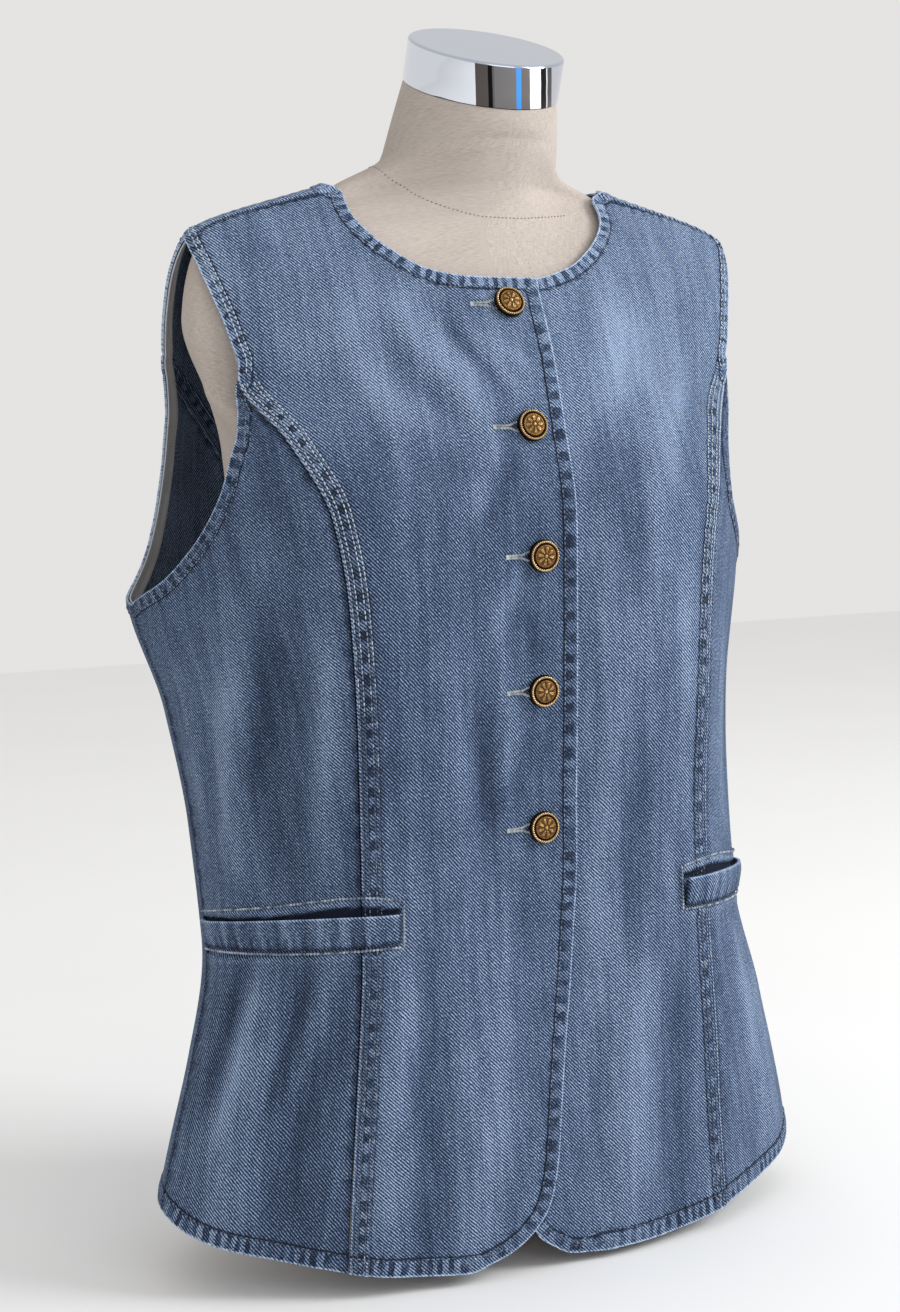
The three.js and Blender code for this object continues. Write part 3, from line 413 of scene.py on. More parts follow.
def putMesh(name, points, faces, uv=None, fields=None, smoothAngle=50):
    # faces is one array of quads or triangles, or a list of arrays; points are in millimetres
    groups = faces if isinstance(faces, list) else [faces]
    mesh = bpy.data.meshes.new(name)
    corners = np.concatenate([g.ravel() for g in groups]).astype(np.int32)
    sizes = np.concatenate([np.full(len(g), g.shape[1]) for g in groups])
    mesh.vertices.add(len(points))
    mesh.vertices.foreach_set("co", (np.asarray(points) * 0.001).astype(np.float32).ravel())
    mesh.loops.add(len(corners))
    mesh.loops.foreach_set("vertex_index", corners)
    mesh.polygons.add(len(sizes))
    mesh.polygons.foreach_set("loop_start", np.concatenate([[0], np.cumsum(sizes)[:-1]]).astype(np.int32))
    mesh.update(calc_edges=True)
    mesh.validate()
    mesh.polygons.foreach_set("use_smooth", np.ones(len(mesh.polygons), bool))
    mesh.set_sharp_from_angle(angle=math.radians(smoothAngle))
    if uv is not None:
        layer = mesh.uv_layers.new(name="cloth")
        layer.data.foreach_set("uv", np.asarray(uv, np.float32)[corners].ravel())
    for key, value in (fields or {}).items():
        layer = mesh.attributes.new(key, "FLOAT", "POINT")
        layer.data.foreach_set("value", np.asarray(value, np.float32).ravel())
    piece = bpy.data.objects.new(name, mesh)
    bpy.context.scene.collection.objects.link(piece)
    return piece


def wallFaces(rows, columns, flip):
    # quads of an outer net, its inner net and the rim between them
    index = np.arange(rows * columns).reshape(rows, columns)
    a, b, c, d = index[:-1, :-1], index[:-1, 1:], index[1:, 1:], index[1:, :-1]
    outer = np.stack([a, b, c, d], -1).reshape(-1, 4)
    perLayer = rows * columns
    inner = outer[:, ::-1] + perLayer
    ring = np.concatenate([index[0, :], index[1:, -1], index[-1, -2::-1], index[-2:0:-1, 0]])
    after = np.roll(ring, -1)
    rim = np.stack([ring + perLayer, after + perLayer, after, ring], -1)
    faces = np.concatenate([outer, inner, rim])
    return faces[:, ::-1] if flip else faces


def sewing(distance, phase, kind):
    # height in millimetres, paleness and strength of the dark tabs of one sewn edge; past the band the dark
    # marks are a painted shadow below the gathers
    d = distance / kind["stitch"]
    wave = np.sin(2 * math.pi * phase)
    lift = kind["lift"] * (1 - smooth(d, 0.84, 1.0)) - 0.3 * np.exp(-(((d - 1) * kind["stitch"] / 0.9) ** 2))
    lift = lift + kind["pucker"] * wave * (1 - smooth(d, 0.95, 1.5)) * smooth(d, -0.1, 0.35)
    low, high = kind["band"]
    inBand = smooth(distance, low - 0.3, low + 0.3) * (1 - smooth(distance, high - 0.4, high + 0.3))
    gatherShadow = smooth(distance, high, high + 0.8) * (1 - smooth(distance, high + 1, high + 3.4))
    pale = (1 - smooth(d, 0.9, 1.05)) * kind["pale"]
    return lift, pale, kind["patch"] * (inBand + 0.45 * gatherShadow)


def edgeKind(*values):
    # how one kind of edge is sewn, in millimetres; patch is how dark the marks within the band are, and how
    # dark the painted shadow past the band is
    return dict(zip(("stitch", "pitch", "lift", "pucker", "pale", "patch", "band"), values))


neckKind = edgeKind(7.0, 6.4, 0.6, 0.2, 0.1, 0.34, (0.5, 6.7))
placketKind = edgeKind(7.6, 10.3, 0.6, 0.25, 0.0, 0.26, (1.6, 7.6))
hemKind = edgeKind(9.2, 6.0, 0.7, 0.3, 0.05, 0.3, (0.6, 9.0))
armKind = edgeKind(7.0, 6.8, 0.5, 0.2, 0.02, 0.26, (0.5, 6.8))
seamKind = edgeKind(10.6, 10.0, 0.8, 0.3, 0.0, 0.32, (4.3, 8.0))
# plain seams: the negative paleness paints a shadow along the seam
plainKind = edgeKind(3.0, 13.0, 0.0, 0.15, -0.1, 0.12, (0.0, 2.6))
shoulderKind = edgeKind(10.0, 6.4, 0.7, 0.2, 0.1, 0.2, (9.6, 12.0))


def pocketShape(u, z):
    # slot above the welt and the lip over it; u is counted from the front centre on either side
    a = np.abs(np.where(u > 4, u - 8, u))
    top = monotoneCurve([0.76, 0.81, 1.02, 1.5, 2.0], [201.4, 202.8, 204.3, 197.8, 193.6])(a)
    low = monotoneCurve([0.76, 1.013, 2.0], [201, 200.1, 191.8])(a)
    inside = smooth(a, 0.778, 0.796) * (a < 2.2)
    slot = inside * smooth(z, low - 2.0, low - 0.5) * (1 - smooth(z, top - 0.7, top + 0.1))
    under = inside * smooth(z, low - 19, low - 17) * (1 - smooth(z, low - 2, low))
    lip = inside * np.exp(-(((z - top - 2.6) / 2.0) ** 2))
    below = inside * np.exp(-(((z - low + 20.5) / 2.0) ** 2))
    upright = smooth(z, low - 20, low - 18) * (1 - smooth(z, top, top + 3))
    bar = np.exp(-(((a - 0.776) * 103 / 0.9) ** 2)) * upright
    return slot, under, lip, below, bar


def holeShade(x, z):
    # darkness along the buttonholes: a slit that widens to the button, and a thin shadow round its edge
    dark = np.zeros(np.shape(x))
    half = np.interp(-x, [7, 9, 12, 20.5], [1.5, 1.2, 0.2, 0.1])
    within = smooth(-x, 5, 6) * (1 - smooth(-x, 20.6, 21.4))
    for height in buttonHeights:
        away = np.abs(z - height)
        slit = 0.9 * (1 - smooth(away, half, half + 0.5))
        outline = 0.35 * np.exp(-(((away - half - 1.7) / 0.6) ** 2))
        dark = dark + within * (slit + outline)
    return dark


def washAndPaintedLight(middle, z):
    # how pale a panel is, partly its wash and partly painted light: painted shade darkens the sides and the
    # lower right front, painted light makes the left chest paler
    if abs(middle) > 1:
        return (-0.1 if middle < 0 else -0.07) if abs(middle) < 2 else -0.04
    chest = smooth(z, 400, 480)
    if middle > 0:
        return -0.03 + 0.1 * chest
    return 0.03 - 0.16 * (1 - chest) * (0.7 + 0.3 * smooth(z, 150, 260))


def surfaceOf(net, side, middle, lapSign, edges, pocket=False):
    # outer and inner points of a panel with its folds, bands, puckers and slot, and its shader fields
    u, z = side * net[..., 0], net[..., 1]
    base, normal = skin(u, z), outward(u, z)
    large, small = largeFolds(u, z), foldHeight(creases, u, z)
    sideX = side * base[..., 0] if side else base[..., 0]
    lift = large + small + lapSign * lap["lift"] * (1 - smooth(sideX, lap["hold"], lap["end"]))
    # paler on the ridges of folds and creases and darker in their hollows, plus the panel's wash and painted
    # light; the field also takes the painted shade of plain seams, buttonholes and welts
    fade = (0.07 + 0.05 * smooth(z, 380, 460)) * large + 0.28 * small + washAndPaintedLight(middle, z)
    edgeShare, seamOff, rowOff, nearest = (np.full(u.shape, value) for value in (9.0, 90.0, 90.0, 90.0))
    phase, tabs = np.zeros(u.shape), np.zeros(u.shape)
    lines = {"left": base[:, 0], "high": base[-1], "right": base[:, -1], "low": base[0]}
    runs, begin = {}, 0.0
    for where, line in lines.items():
        run = runAlong(line)
        runs[where] = begin + (run if where in ("left", "high") else run[-1] - run)
        begin += run[-1]
    for where, start, end, kind, isSeam in edges:
        line = lines[where]
        first, last = int(round(start * (len(line) - 1))), int(round(end * (len(line) - 1)))
        distance, along = distanceTo(base, line[first:last + 1])
        around = runs[where][first] + (along if where in ("left", "high") else -along)
        waves = phaseOf(around, kind["pitch"], 0.7 * side + middle)
        up, pale, strength = sewing(distance, waves, kind)
        lift = lift + up
        fade = fade + pale
        closer = distance < nearest
        nearest = np.where(closer, distance, nearest)
        phase = np.where(closer, waves, phase)
        tabs = np.where(closer, strength, tabs)
        if isSeam:
            seamOff = np.minimum(seamOff, distance)
            rowOff = np.minimum(rowOff, distance) if kind is seamKind else rowOff
        else:
            edgeShare = np.minimum(edgeShare, distance / kind["stitch"])
    dark = np.zeros(u.shape)
    if pocket:
        slot, under, lip, below, bar = pocketShape(u, z)
        lift = lift - 1.6 * slot - 1.2 * under + 0.6 * lip + 0.4 * below + 0.6 * bar
        # the slot is painted dark: painted shade in the recess above the welt
        dark = slot
        fade = fade + 0.16 * lip + 0.1 * below + 0.3 * bar
        rowOff = rowOff + 90 * np.clip(slot + under + lip, 0, 1)
        tabs = tabs * (1 - np.clip(slot + under + lip, 0, 1))
    if lapSign > 0:
        fade = fade - 0.35 * holeShade(base[..., 0], z)
    rim = np.zeros(u.shape)
    rim[[0, -1], :] = rim[:, [0, -1]] = 1
    outer = base + normal * (lift - 0.4 * rim)[..., None]
    inner = base + normal * (lift - wall + 0.4 * rim)[..., None]
    return {"outer": outer, "inner": inner, "normal": normal, "map": clothMap(u, z, middle),
            "fields": {"fade": fade, "edgeShare": edgeShare, "seamOff": seamOff, "rowOff": rowOff,
                       "dark": dark, "phase": phase, "tabs": tabs}}


def clothTables():
    # lengths round the body from the centre front and upwards from mid height, on a fine grid of u and z
    us, zs = np.arange(-3.3, 6.3, 0.02), np.arange(0, 575.1, 2.5)
    points = skin(us[None, :], zs[:, None])
    aroundBody = runAcross(points)
    rise = np.hypot(np.diff(points[..., 1], axis=0), np.diff(points[..., 2], axis=0))
    return us, zs, aroundBody, np.concatenate([np.zeros((1, len(us))), np.cumsum(rise, 0)])


def onTable(table, us, zs, u, z):
    # value between the four nearest entries
    i = np.clip(((u - us[0]) / (us[1] - us[0])).astype(int), 0, len(us) - 2)
    j = np.clip(((z - zs[0]) / (zs[1] - zs[0])).astype(int), 0, len(zs) - 2)
    s, t = (u - us[i]) / (us[1] - us[0]), (z - zs[j]) / (zs[1] - zs[0])
    return ((1 - s) * (1 - t) * table[j, i] + s * (1 - t) * table[j, i + 1]
            + (1 - s) * t * table[j + 1, i] + s * t * table[j + 1, i + 1])


mapU, mapZ, mapRound, mapRise = clothTables()


def clothMap(u, z, middle):
    # flat cloth position in metres: on fronts and back straight across and the rise of the middle line,
    # on the side panels the length round from the panel's middle and the length upwards
    if abs(middle) < 1 or abs(middle) > 3:
        across = 1.02 * skin(u, z)[..., 0]
        centreU = 4.0 if middle > 3 else 0.0
        return np.stack([across, onTable(mapRise, mapU, mapZ, centreU + 0 * u, z)], -1) * 0.001
    across = onTable(mapRound, mapU, mapZ, u, z) - onTable(mapRound, mapU, mapZ, middle + 0 * u, z)
    return np.stack([across, onTable(mapRise, mapU, mapZ, u, z)], -1) * 0.001


def panelPiece(name, surface, flip, material):
    # outer and inner surface of a panel, joined round the rim
    outer, inner = surface["outer"], surface["inner"]
    rows, columns = outer.shape[:2]
    points = np.concatenate([outer.reshape(-1, 3), inner.reshape(-1, 3)])
    uv = np.tile(surface["map"].reshape(-1, 2), (2, 1))
    fields = {key: np.concatenate([v.ravel(), v.ravel()]) for key, v in surface["fields"].items()}
    fields["inside"] = np.concatenate([np.zeros(rows * columns), np.ones(rows * columns)])
    piece = putMesh(name, points, wallFaces(rows, columns, flip), uv, fields)
    piece.data.materials.append(material)
    diagonals = outer[1:, 1:] - outer[:-1, :-1], outer[1:, :-1] - outer[:-1, 1:]
    area = np.linalg.norm(np.cross(*diagonals), axis=-1).sum() / 2
    print(name, "triangles", len(piece.data.loops) // 2, "area", round(area * 1e-6, 5))
    return piece


def shaderTools(material):
    # shader helpers: fill sets a node's inputs, the others make one node and return its output
    material.use_nodes = True
    tree = material.node_tree
    principled = tree.nodes["Principled BSDF"]

    def fill(node, inputs):
        for key, value in inputs.items():
            if isinstance(value, bpy.types.NodeSocket):
                tree.links.new(value, node.inputs[key])
            else:
                node.inputs[key].default_value = value

    def paint(color, rough, more=()):
        fill(principled, {"Base Color": color, "Roughness": rough, **dict(more)})

    def make(kind, inputs=(), **settings):
        node = tree.nodes.new(kind)
        for key, value in settings.items():
            setattr(node, key, value)
        fill(node, dict(inputs))
        return node

    def calc(operation, *values):
        return make("ShaderNodeMath", {i: v for i, v in enumerate(values)}, operation=operation).outputs[0]

    def ease(value, low, high, start=0.0, end=1.0):
        keys = {"Value": value, "From Min": low, "From Max": high, "To Min": start, "To Max": end}
        return make("ShaderNodeMapRange", keys, interpolation_type="SMOOTHSTEP").outputs[0]

    def field(name):
        return make("ShaderNodeAttribute", attribute_name=name).outputs["Fac"]

    def stretched(vector, scale):
        return make("ShaderNodeMapping", {"Vector": vector, "Scale": scale}).outputs[0]

    def noise(vector, scale, detail=2.0, rough=0.5):
        keys = {"Vector": vector, "Scale": scale, "Detail": detail, "Roughness": rough}
        return make("ShaderNodeTexNoise", keys).outputs["Fac"]

    def ramp(value, stops):
        node = make("ShaderNodeValToRGB", {"Fac": value})
        while len(node.color_ramp.elements) < len(stops):
            node.color_ramp.elements.new(0.5)
        for element, (place, color) in zip(node.color_ramp.elements, stops):
            element.position = place
            element.color = (*color, 1)
        return node.outputs["Color"]

    def bump(height, strength, distance):
        keys = {"Height": height, "Strength": strength, "Distance": distance}
        fill(principled, {"Normal": make("ShaderNodeBump", keys).outputs[0]})

    return {"paint": paint, "make": make, "calc": calc, "ease": ease, "field": field,
            "stretched": stretched, "noise": noise, "ramp": ramp, "bump": bump}


denimLook = {
    "ramp": [(0.0, (0.008, 0.013, 0.028)), (0.25, (0.028, 0.047, 0.094)), (0.5, (0.084, 0.13, 0.23)),
             (0.75, (0.193, 0.274, 0.432)), (1.0, (0.44, 0.53, 0.66))],
    "middle": 0.395, "twillPitch": 0.00135, "twill": 0.4, "grain": 2.0,
    "streak": 0.42, "broad": 0.4, "blotch": 0.28,
    "rows": (1.9, 4.3, 8.0, 10.4),
}


def makeDenim(name, look):
    # paleness = middle + fields + streaks + blotches + grain + twill, through a blue ramp; besides wash and
    # wear, the fields and the seam marks carry painted shade and painted highlights
    material = bpy.data.materials.new(name)
    t = shaderTools(material)
    calc, ease, noise, field = t["calc"], t["ease"], t["noise"], t["field"]
    uv = t["make"]("ShaderNodeUVMap", uv_map="cloth").outputs[0]
    parts = t["make"]("ShaderNodeSeparateXYZ", {0: uv})
    x, y = parts.outputs["X"], parts.outputs["Y"]
    slope = calc("ADD", calc("MULTIPLY", x, 0.72), calc("MULTIPLY", y, 0.69))
    wobble = noise(uv, 160.0, 2.0)
    phase = calc("MULTIPLY", slope, 2 * math.pi / look["twillPitch"])
    twill = calc("SINE", calc("ADD", phase, calc("MULTIPLY", wobble, 5.0)))
    grain = noise(t["stretched"](uv, (1250.0, 800.0, 1.0)), 1.0, 3.0, 0.75)
    streak = noise(t["stretched"](uv, (260.0, 22.0, 1.0)), 1.0, 4.0, 0.6)
    broad = noise(t["stretched"](uv, (55.0, 8.0, 1.0)), 1.0, 3.0, 0.55)
    blotch = noise(uv, 30.0, 4.0, 0.6)
    centred = lambda value, amount: calc("MULTIPLY", calc("SUBTRACT", value, 0.5), amount)
    total = calc("ADD", look["middle"], field("fade"))
    for value, amount in ((streak, look["streak"]), (broad, look["broad"]), (blotch, look["blotch"])):
        total = calc("ADD", total, centred(value, amount))
    share, seam, row = field("edgeShare"), field("seamOff"), field("rowOff")
    # painted shade in the groove along each stitch line
    grooveShade = ease(calc("ABSOLUTE", calc("SUBTRACT", share, 1.0)), 0.04, 0.13, 1.0, 0.0)
    worn = ease(share, 0.05, 0.17, 1.0, 0.0)
    # painted highlight: a pale line where the felled seam's turned edge catches the light
    lip = calc("MULTIPLY", ease(row, 0.2, 0.5), ease(row, 0.9, 1.6, 1.0, 0.0))
    rows = 0.0
    for place in look["rows"]:
        away = calc("ABSOLUTE", calc("SUBTRACT", row, place))
        rows = calc("MAXIMUM", rows, ease(away, 0.15, 0.9, 1.0, 0.0))
    # painted shadow in the crack beside every seam
    seamCrackShade = ease(seam, 0.0, 2.4, 1.0, 0.0)
    wornNoise = ease(noise(uv, 420.0, 2.0), 0.35, 0.6, 0.45, 1.0)
    turn = calc("ADD", calc("MULTIPLY", field("phase"), 2 * math.pi), centred(noise(uv, 330.0, 2.0), 3.4))
    place = t["make"]("ShaderNodeCombineXYZ", {0: field("phase"), 1: share}).outputs[0]
    uneven = ease(noise(place, 0.8, 2.0), 0.36, 0.62, 0.25, 1.25)
    # the tabs field holds wash marks in the sewn bands and a painted shadow below the gathers
    strength = calc("MULTIPLY", field("tabs"), uneven)
    tab = calc("MULTIPLY", strength, ease(calc("SINE", turn), -0.3, 0.3, -1.15, 0.3))
    shares = (
        (grooveShade, -0.46), (calc("MULTIPLY", worn, wornNoise), 0.62), (lip, 0.4), (rows, -0.2), (tab, 1.0),
        (seamCrackShade, -0.16), (field("dark"), -0.8), (field("inside"), 0.14),
    )
    for value, amount in shares:
        total = calc("ADD", total, calc("MULTIPLY", value, amount))
    fine = ease(total, 0.45, 0.85, 1.0, 0.5)
    total = calc("ADD", total, calc("MULTIPLY", fine, calc("MULTIPLY", twill, look["twill"])))
    total = calc("ADD", total, calc("MULTIPLY", fine, centred(grain, look["grain"])))
    t["paint"](t["ramp"](total, look["ramp"]), 0.9, {"Specular IOR Level": 0.2})
    height = calc("ADD", calc("MULTIPLY", twill, 0.5), calc("MULTIPLY", grain, 1.2))
    t["bump"](height, 0.45, 0.00025)
    return material


def makeLinen():
    # pale cloth: two crossed sets of thin uneven threads over slow tone changes
    material = bpy.data.materials.new("linenCover")
    t = shaderTools(material)
    uv = t["make"]("ShaderNodeUVMap", uv_map="cloth").outputs[0]
    across = t["noise"](t["stretched"](uv, (260.0, 2600.0, 1.0)), 1.0, 2.0, 0.6)
    upright = t["noise"](t["stretched"](uv, (2600.0, 200.0, 1.0)), 1.0, 2.0, 0.6)
    threads = t["calc"]("ADD", across, upright)
    tone = t["noise"](uv, 14.0, 3.0, 0.5)
    mixed = t["calc"]("ADD", t["calc"]("MULTIPLY", threads, 0.5), t["calc"]("MULTIPLY", tone, 0.2))
    mixed = t["calc"]("SUBTRACT", mixed, 0.14)
    tones = [(0.12, (0.2, 0.163, 0.13)), (0.36, (0.395, 0.343, 0.303)), (0.6, (0.545, 0.485, 0.44))]
    t["paint"](t["ramp"](mixed, tones), 0.9, {"Specular IOR Level": 0.2})
    t["bump"](threads, 0.15, 0.0002)
    return material


def makeFacing():
    # light grey cotton tape: fine plain weave and slow shade
    material = bpy.data.materials.new("facingCotton")
    t = shaderTools(material)
    place = t["make"]("ShaderNodeTexCoord").outputs["Object"]
    weave = t["noise"](place, 1500.0, 2.0)
    tone = t["noise"](place, 60.0, 2.0)
    mixed = t["calc"]("ADD", t["calc"]("MULTIPLY", weave, 0.5), t["calc"]("MULTIPLY", tone, 0.5))
    t["paint"](t["ramp"](mixed, [(0.3, (0.36, 0.375, 0.4)), (0.7, (0.52, 0.535, 0.56))]), 0.9)
    t["bump"](weave, 0.3, 0.0002)
    return material


def makeThread(name, dark, pale, rise=0.0):
    # twisted thread: tone wanders from stitch to stitch and can pale towards the chest
    material = bpy.data.materials.new(name)
    t = shaderTools(material)
    place = t["make"]("ShaderNodeTexCoord").outputs["Object"]
    height = t["make"]("ShaderNodeSeparateXYZ", {0: place}).outputs["Z"]
    tone = t["calc"]("ADD", t["noise"](place, 260.0, 2.0), t["ease"](height, 0.25, 0.42, -1.1 * rise, rise))
    t["paint"](t["ramp"](tone, [(0.35, dark), (0.65, pale)]), 0.75)
    t["bump"](t["noise"](place, 2200.0, 1.0), 0.3, 0.0001)
    return material


def makeBrass():
    # aged brass: dark in the hollows, bright gold where the field worn is high
    material = bpy.data.materials.new("agedBrass")
    t = shaderTools(material)
    place = t["make"]("ShaderNodeTexCoord").outputs["Object"]
    speckle = t["noise"](place, 900.0, 3.0, 0.6)
    spread = t["calc"]("MULTIPLY", t["calc"]("SUBTRACT", speckle, 0.5), 0.6)
    value = t["calc"]("ADD", t["field"]("worn"), spread)
    tones = [(0.0, (0.012, 0.006, 0.003)), (0.4, (0.1, 0.05, 0.018)), (0.78, (0.36, 0.215, 0.08)),
             (1.0, (0.84, 0.68, 0.44))]
    t["paint"](t["ramp"](value, tones), t["ease"](value, 0.2, 0.9, 0.55, 0.27), {"Metallic": 1.0})
    t["bump"](speckle, 0.25, 0.00008)
    return material


# painted reflection on the cap's side: colours of upright bands across the cap, and the pale ceiling painted
# on its top
paintedReflectionBands = [(0.0, (0.76, 0.79, 0.86)), (0.415, (0.09, 0.08, 0.075)), (0.494, (0.008, 0.008, 0.01)),
            (0.52, (0.12, 0.11, 0.105)), (0.533, (0.17, 0.165, 0.165)), (0.668, (0.07, 0.3, 0.8)),
            (0.7, (0.15, 0.135, 0.13)), (0.756, (0.9, 0.9, 0.9)), (0.826, (0.008, 0.008, 0.01)),
            (0.861, (0.85, 0.87, 0.9)), (0.87, (0.12, 0.12, 0.13)), (0.895, (0.66, 0.69, 0.76))]
paintedCeilingReflection = (0.52, 0.565, 0.66, 1)


def makeChrome():
    # polished steel with a painted reflection: a room painted on the side in upright bands, a plain pale
    # ceiling painted on the top
    material = bpy.data.materials.new("polishedChrome")
    t = shaderTools(material)
    place = t["make"]("ShaderNodeTexCoord").outputs["Object"]
    haze = t["noise"](place, 60.0, 2.0)
    sideReflection = t["ramp"](t["calc"]("ADD", t["field"]("band"), t["calc"]("MULTIPLY", haze, 0.01)), paintedReflectionBands)
    sideReflection.node.color_ramp.interpolation = "CONSTANT"
    mix = t["make"]("ShaderNodeMix", {0: t["field"]("side"), 6: paintedCeilingReflection, 7: sideReflection}, data_type="RGBA")
    t["paint"](mix.outputs[2], t["ease"](haze, 0.3, 0.7, 0.05, 0.1), {"Metallic": 1.0})
    t["bump"](haze, 0.05, 0.0004)
    return material


denim = makeDenim("washedDenim", denimLook)
linen = makeLinen()
facingCotton = makeFacing()
navyThread = makeThread("navyThread", (0.02, 0.03, 0.06), (0.2, 0.25, 0.34))
greyThread = makeThread("greyThread", (0.05, 0.07, 0.11), (0.46, 0.52, 0.58), 0.16)
brownThread = makeThread("brownThread", (0.05, 0.042, 0.036), (0.2, 0.17, 0.15))
paleThread = makeThread("paleThread", (0.2, 0.24, 0.28), (0.5, 0.53, 0.52))
ropeThread = makeThread("ropeThread", (0.06, 0.085, 0.13), (0.4, 0.45, 0.51))
brass = makeBrass()
chrome = makeChrome()
print("materials made")

# panels: columns and rows of the net, the sewn edges as (edge, start share, end share, kind, is a seam)
rowSplit = 0.714
frontSplit = 0.59
frontEdges = [("left", 0.0, 0.62, placketKind, False), ("left", 0.62, 1.0, neckKind, False),
              ("low", 0.0, 1.0, hemKind, False), ("right", 0.0, frontSplit, seamKind, True),
              ("right", frontSplit, 1.0, armKind, False), ("high", 0.0, 1.0, shoulderKind, False)]
sideEdges = [("left", 0.0, 1.0, plainKind, True), ("low", 0.0, 1.0, hemKind, False),
             ("right", 0.0, 1.0, plainKind, True), ("high", 0.0, 1.0, armKind, False)]
backEdges = [("left", 0.0, rowSplit, seamKind, True), ("right", 0.0, rowSplit, seamKind, True),
             ("left", rowSplit, 1.0, armKind, False), ("right", rowSplit, 1.0, armKind, False),
             ("low", 0.0, 1.0, hemKind, False), ("high", 0.0, 0.19, plainKind, True),
             ("high", 0.19, 0.81, neckKind, False), ("high", 0.81, 1.0, plainKind, True)]
detail = 1.0
count = lambda n: int(n * detail)
surfaces = {}
pieces = {}
sideZ, seamZ, backZ = (np.array(r, float) for r in (sideRows, seamRows, backRows))
sideU = 2 * np.ones(len(sideZ))
for word, side, edge in (("right", -1, upperEdge), ("left", 1, lowerEdge)):
    nets = {
        "front_" + word: (frontNet(side, edge, count(84), count(340)), 0.3, -side, frontEdges, True),
        "side_front_" + word: (sideNet(side, shifted(frontSeamU(side, seamZ), seamZ, seamGap / 2), seamZ,
                                       shifted(sideU, sideZ, -seamGap / 2), sideZ,
                                       armholeLowFrontLeft if side > 0 else armholeLowFront,
                                       count(52), count(220)), 1.5, 0, sideEdges, True),
        "side_back_" + word: (sideNet(side, shifted(sideU, sideZ, seamGap / 2), sideZ,
                                      backSeamEdge(backZ, -1), backZ,
                                      armholeLowBack, count(40), count(160)), 2.5, 0, sideEdges, False),
    }
    for name, (net, middle, lapSign, edges, pocket) in nets.items():
        surfaces[name] = surfaceOf(net, side, side * middle, lapSign, edges, pocket)
        pieces[name] = panelPiece("cloth_" + name, surfaces[name], side < 0, denim)
surfaces["back"] = surfaceOf(backNet(count(92), count(190)), 1, 4.0, 0, backEdges)
pieces["back"] = panelPiece("cloth_back", surfaces["back"], False, denim)
print("panels made")


def lineInside(surface, where, distance, start=0.0, end=1.0, extra=0.0):
    # line on the outer net at a distance from one of its edges, with normals
    points, normals = surface["outer"], surface["normal"]
    if where in ("low", "high"):
        points, normals = points.transpose(1, 0, 2), normals.transpose(1, 0, 2)
    if where in ("right", "high"):
        points, normals = points[:, ::-1], normals[:, ::-1]
    first, last = int(start * (len(points) - 1)), int(end * (len(points) - 1))
    points, normals = points[first:last + 1], normals[first:last + 1]
    edge = points[:, 0]
    tangent = np.gradient(edge, axis=0)
    tangent /= np.linalg.norm(tangent, axis=1, keepdims=True) + 1e-9
    inward = points[:, min(6, points.shape[1] - 1)] - edge
    inward /= np.linalg.norm(inward, axis=1, keepdims=True) + 1e-9
    slant = np.clip(np.linalg.norm(np.cross(tangent, inward), axis=1), 0.35, 1)
    want = distance / slant
    run = runAcross(points)
    i = np.clip((run < want[:, None]).sum(1) - 1, 0, run.shape[1] - 2)
    k = np.arange(len(points))
    t = np.clip((want - run[k, i]) / np.maximum(run[k, i + 1] - run[k, i], 1e-6), 0, 1)[:, None]
    line = points[k, i] * (1 - t) + points[k, i + 1] * t
    return line + normals[k, i] * extra, normals[k, i]


def resample(line, normals, pitch, trim=0.0):
    # even stations along a line: points, directions, normals
    along = runAlong(line)
    number = max(int((along[-1] - 2 * trim) / pitch), 1)
    at = trim + (np.arange(number) + 0.5) * (along[-1] - 2 * trim) / number
    pick = lambda values, where: np.stack([np.interp(where, along, values[:, k]) for k in range(3)], -1)
    points = pick(line, at)
    direction = pick(line, np.minimum(at + 0.4, along[-1])) - pick(line, np.maximum(at - 0.4, 0))
    direction /= np.linalg.norm(direction, axis=1, keepdims=True) + 1e-9
    up = pick(normals, at)
    up /= np.linalg.norm(up, axis=1, keepdims=True) + 1e-9
    return points, direction, up


stitchPoints = 22


def stitchShapes(points, direction, up, length, width, height):
    # each stitch is a low rounded bar: four rings of five points and two end points
    across = np.cross(up, direction)
    across /= np.linalg.norm(across, axis=1, keepdims=True) + 1e-9
    stations = np.array([-0.42, -0.2, 0.2, 0.42]) * length
    swell = np.array([0.6, 1.0, 1.0, 0.6])
    angle = np.linspace(0, 2 * math.pi, 6)[:-1] + 0.3
    local = [np.array([[-0.5 * length, 0, -0.1 * height]])]
    for station, size in zip(stations, swell):
        local.append(np.stack([np.full(5, station), np.cos(angle) * width / 2 * size,
                               np.sin(angle) * height / 2 * size + 0.12 * height * size], -1))
    local.append(np.array([[0.5 * length, 0, -0.1 * height]]))
    local = np.concatenate(local)
    out = (points[:, None] + local[None, :, :1] * direction[:, None] + local[None, :, 1:2] * across[:, None]
           + local[None, :, 2:] * up[:, None])
    k = np.arange(5)
    after = (k + 1) % 5
    tip = np.stack([0 * k, 1 + after, 1 + k], -1)
    tail = np.stack([0 * k + stitchPoints - 1, stitchPoints - 6 + k, stitchPoints - 6 + after], -1)
    ends = np.concatenate([tip, tail])
    sides = np.concatenate([np.stack([first + k, first + after, first + 5 + after, first + 5 + k], -1)
                            for first in (1, 6, 11)])
    offset = (np.arange(len(points)) * stitchPoints)[:, None, None]
    return out.reshape(-1, 3), (ends[None] + offset).reshape(-1, 3), (sides[None] + offset).reshape(-1, 4)


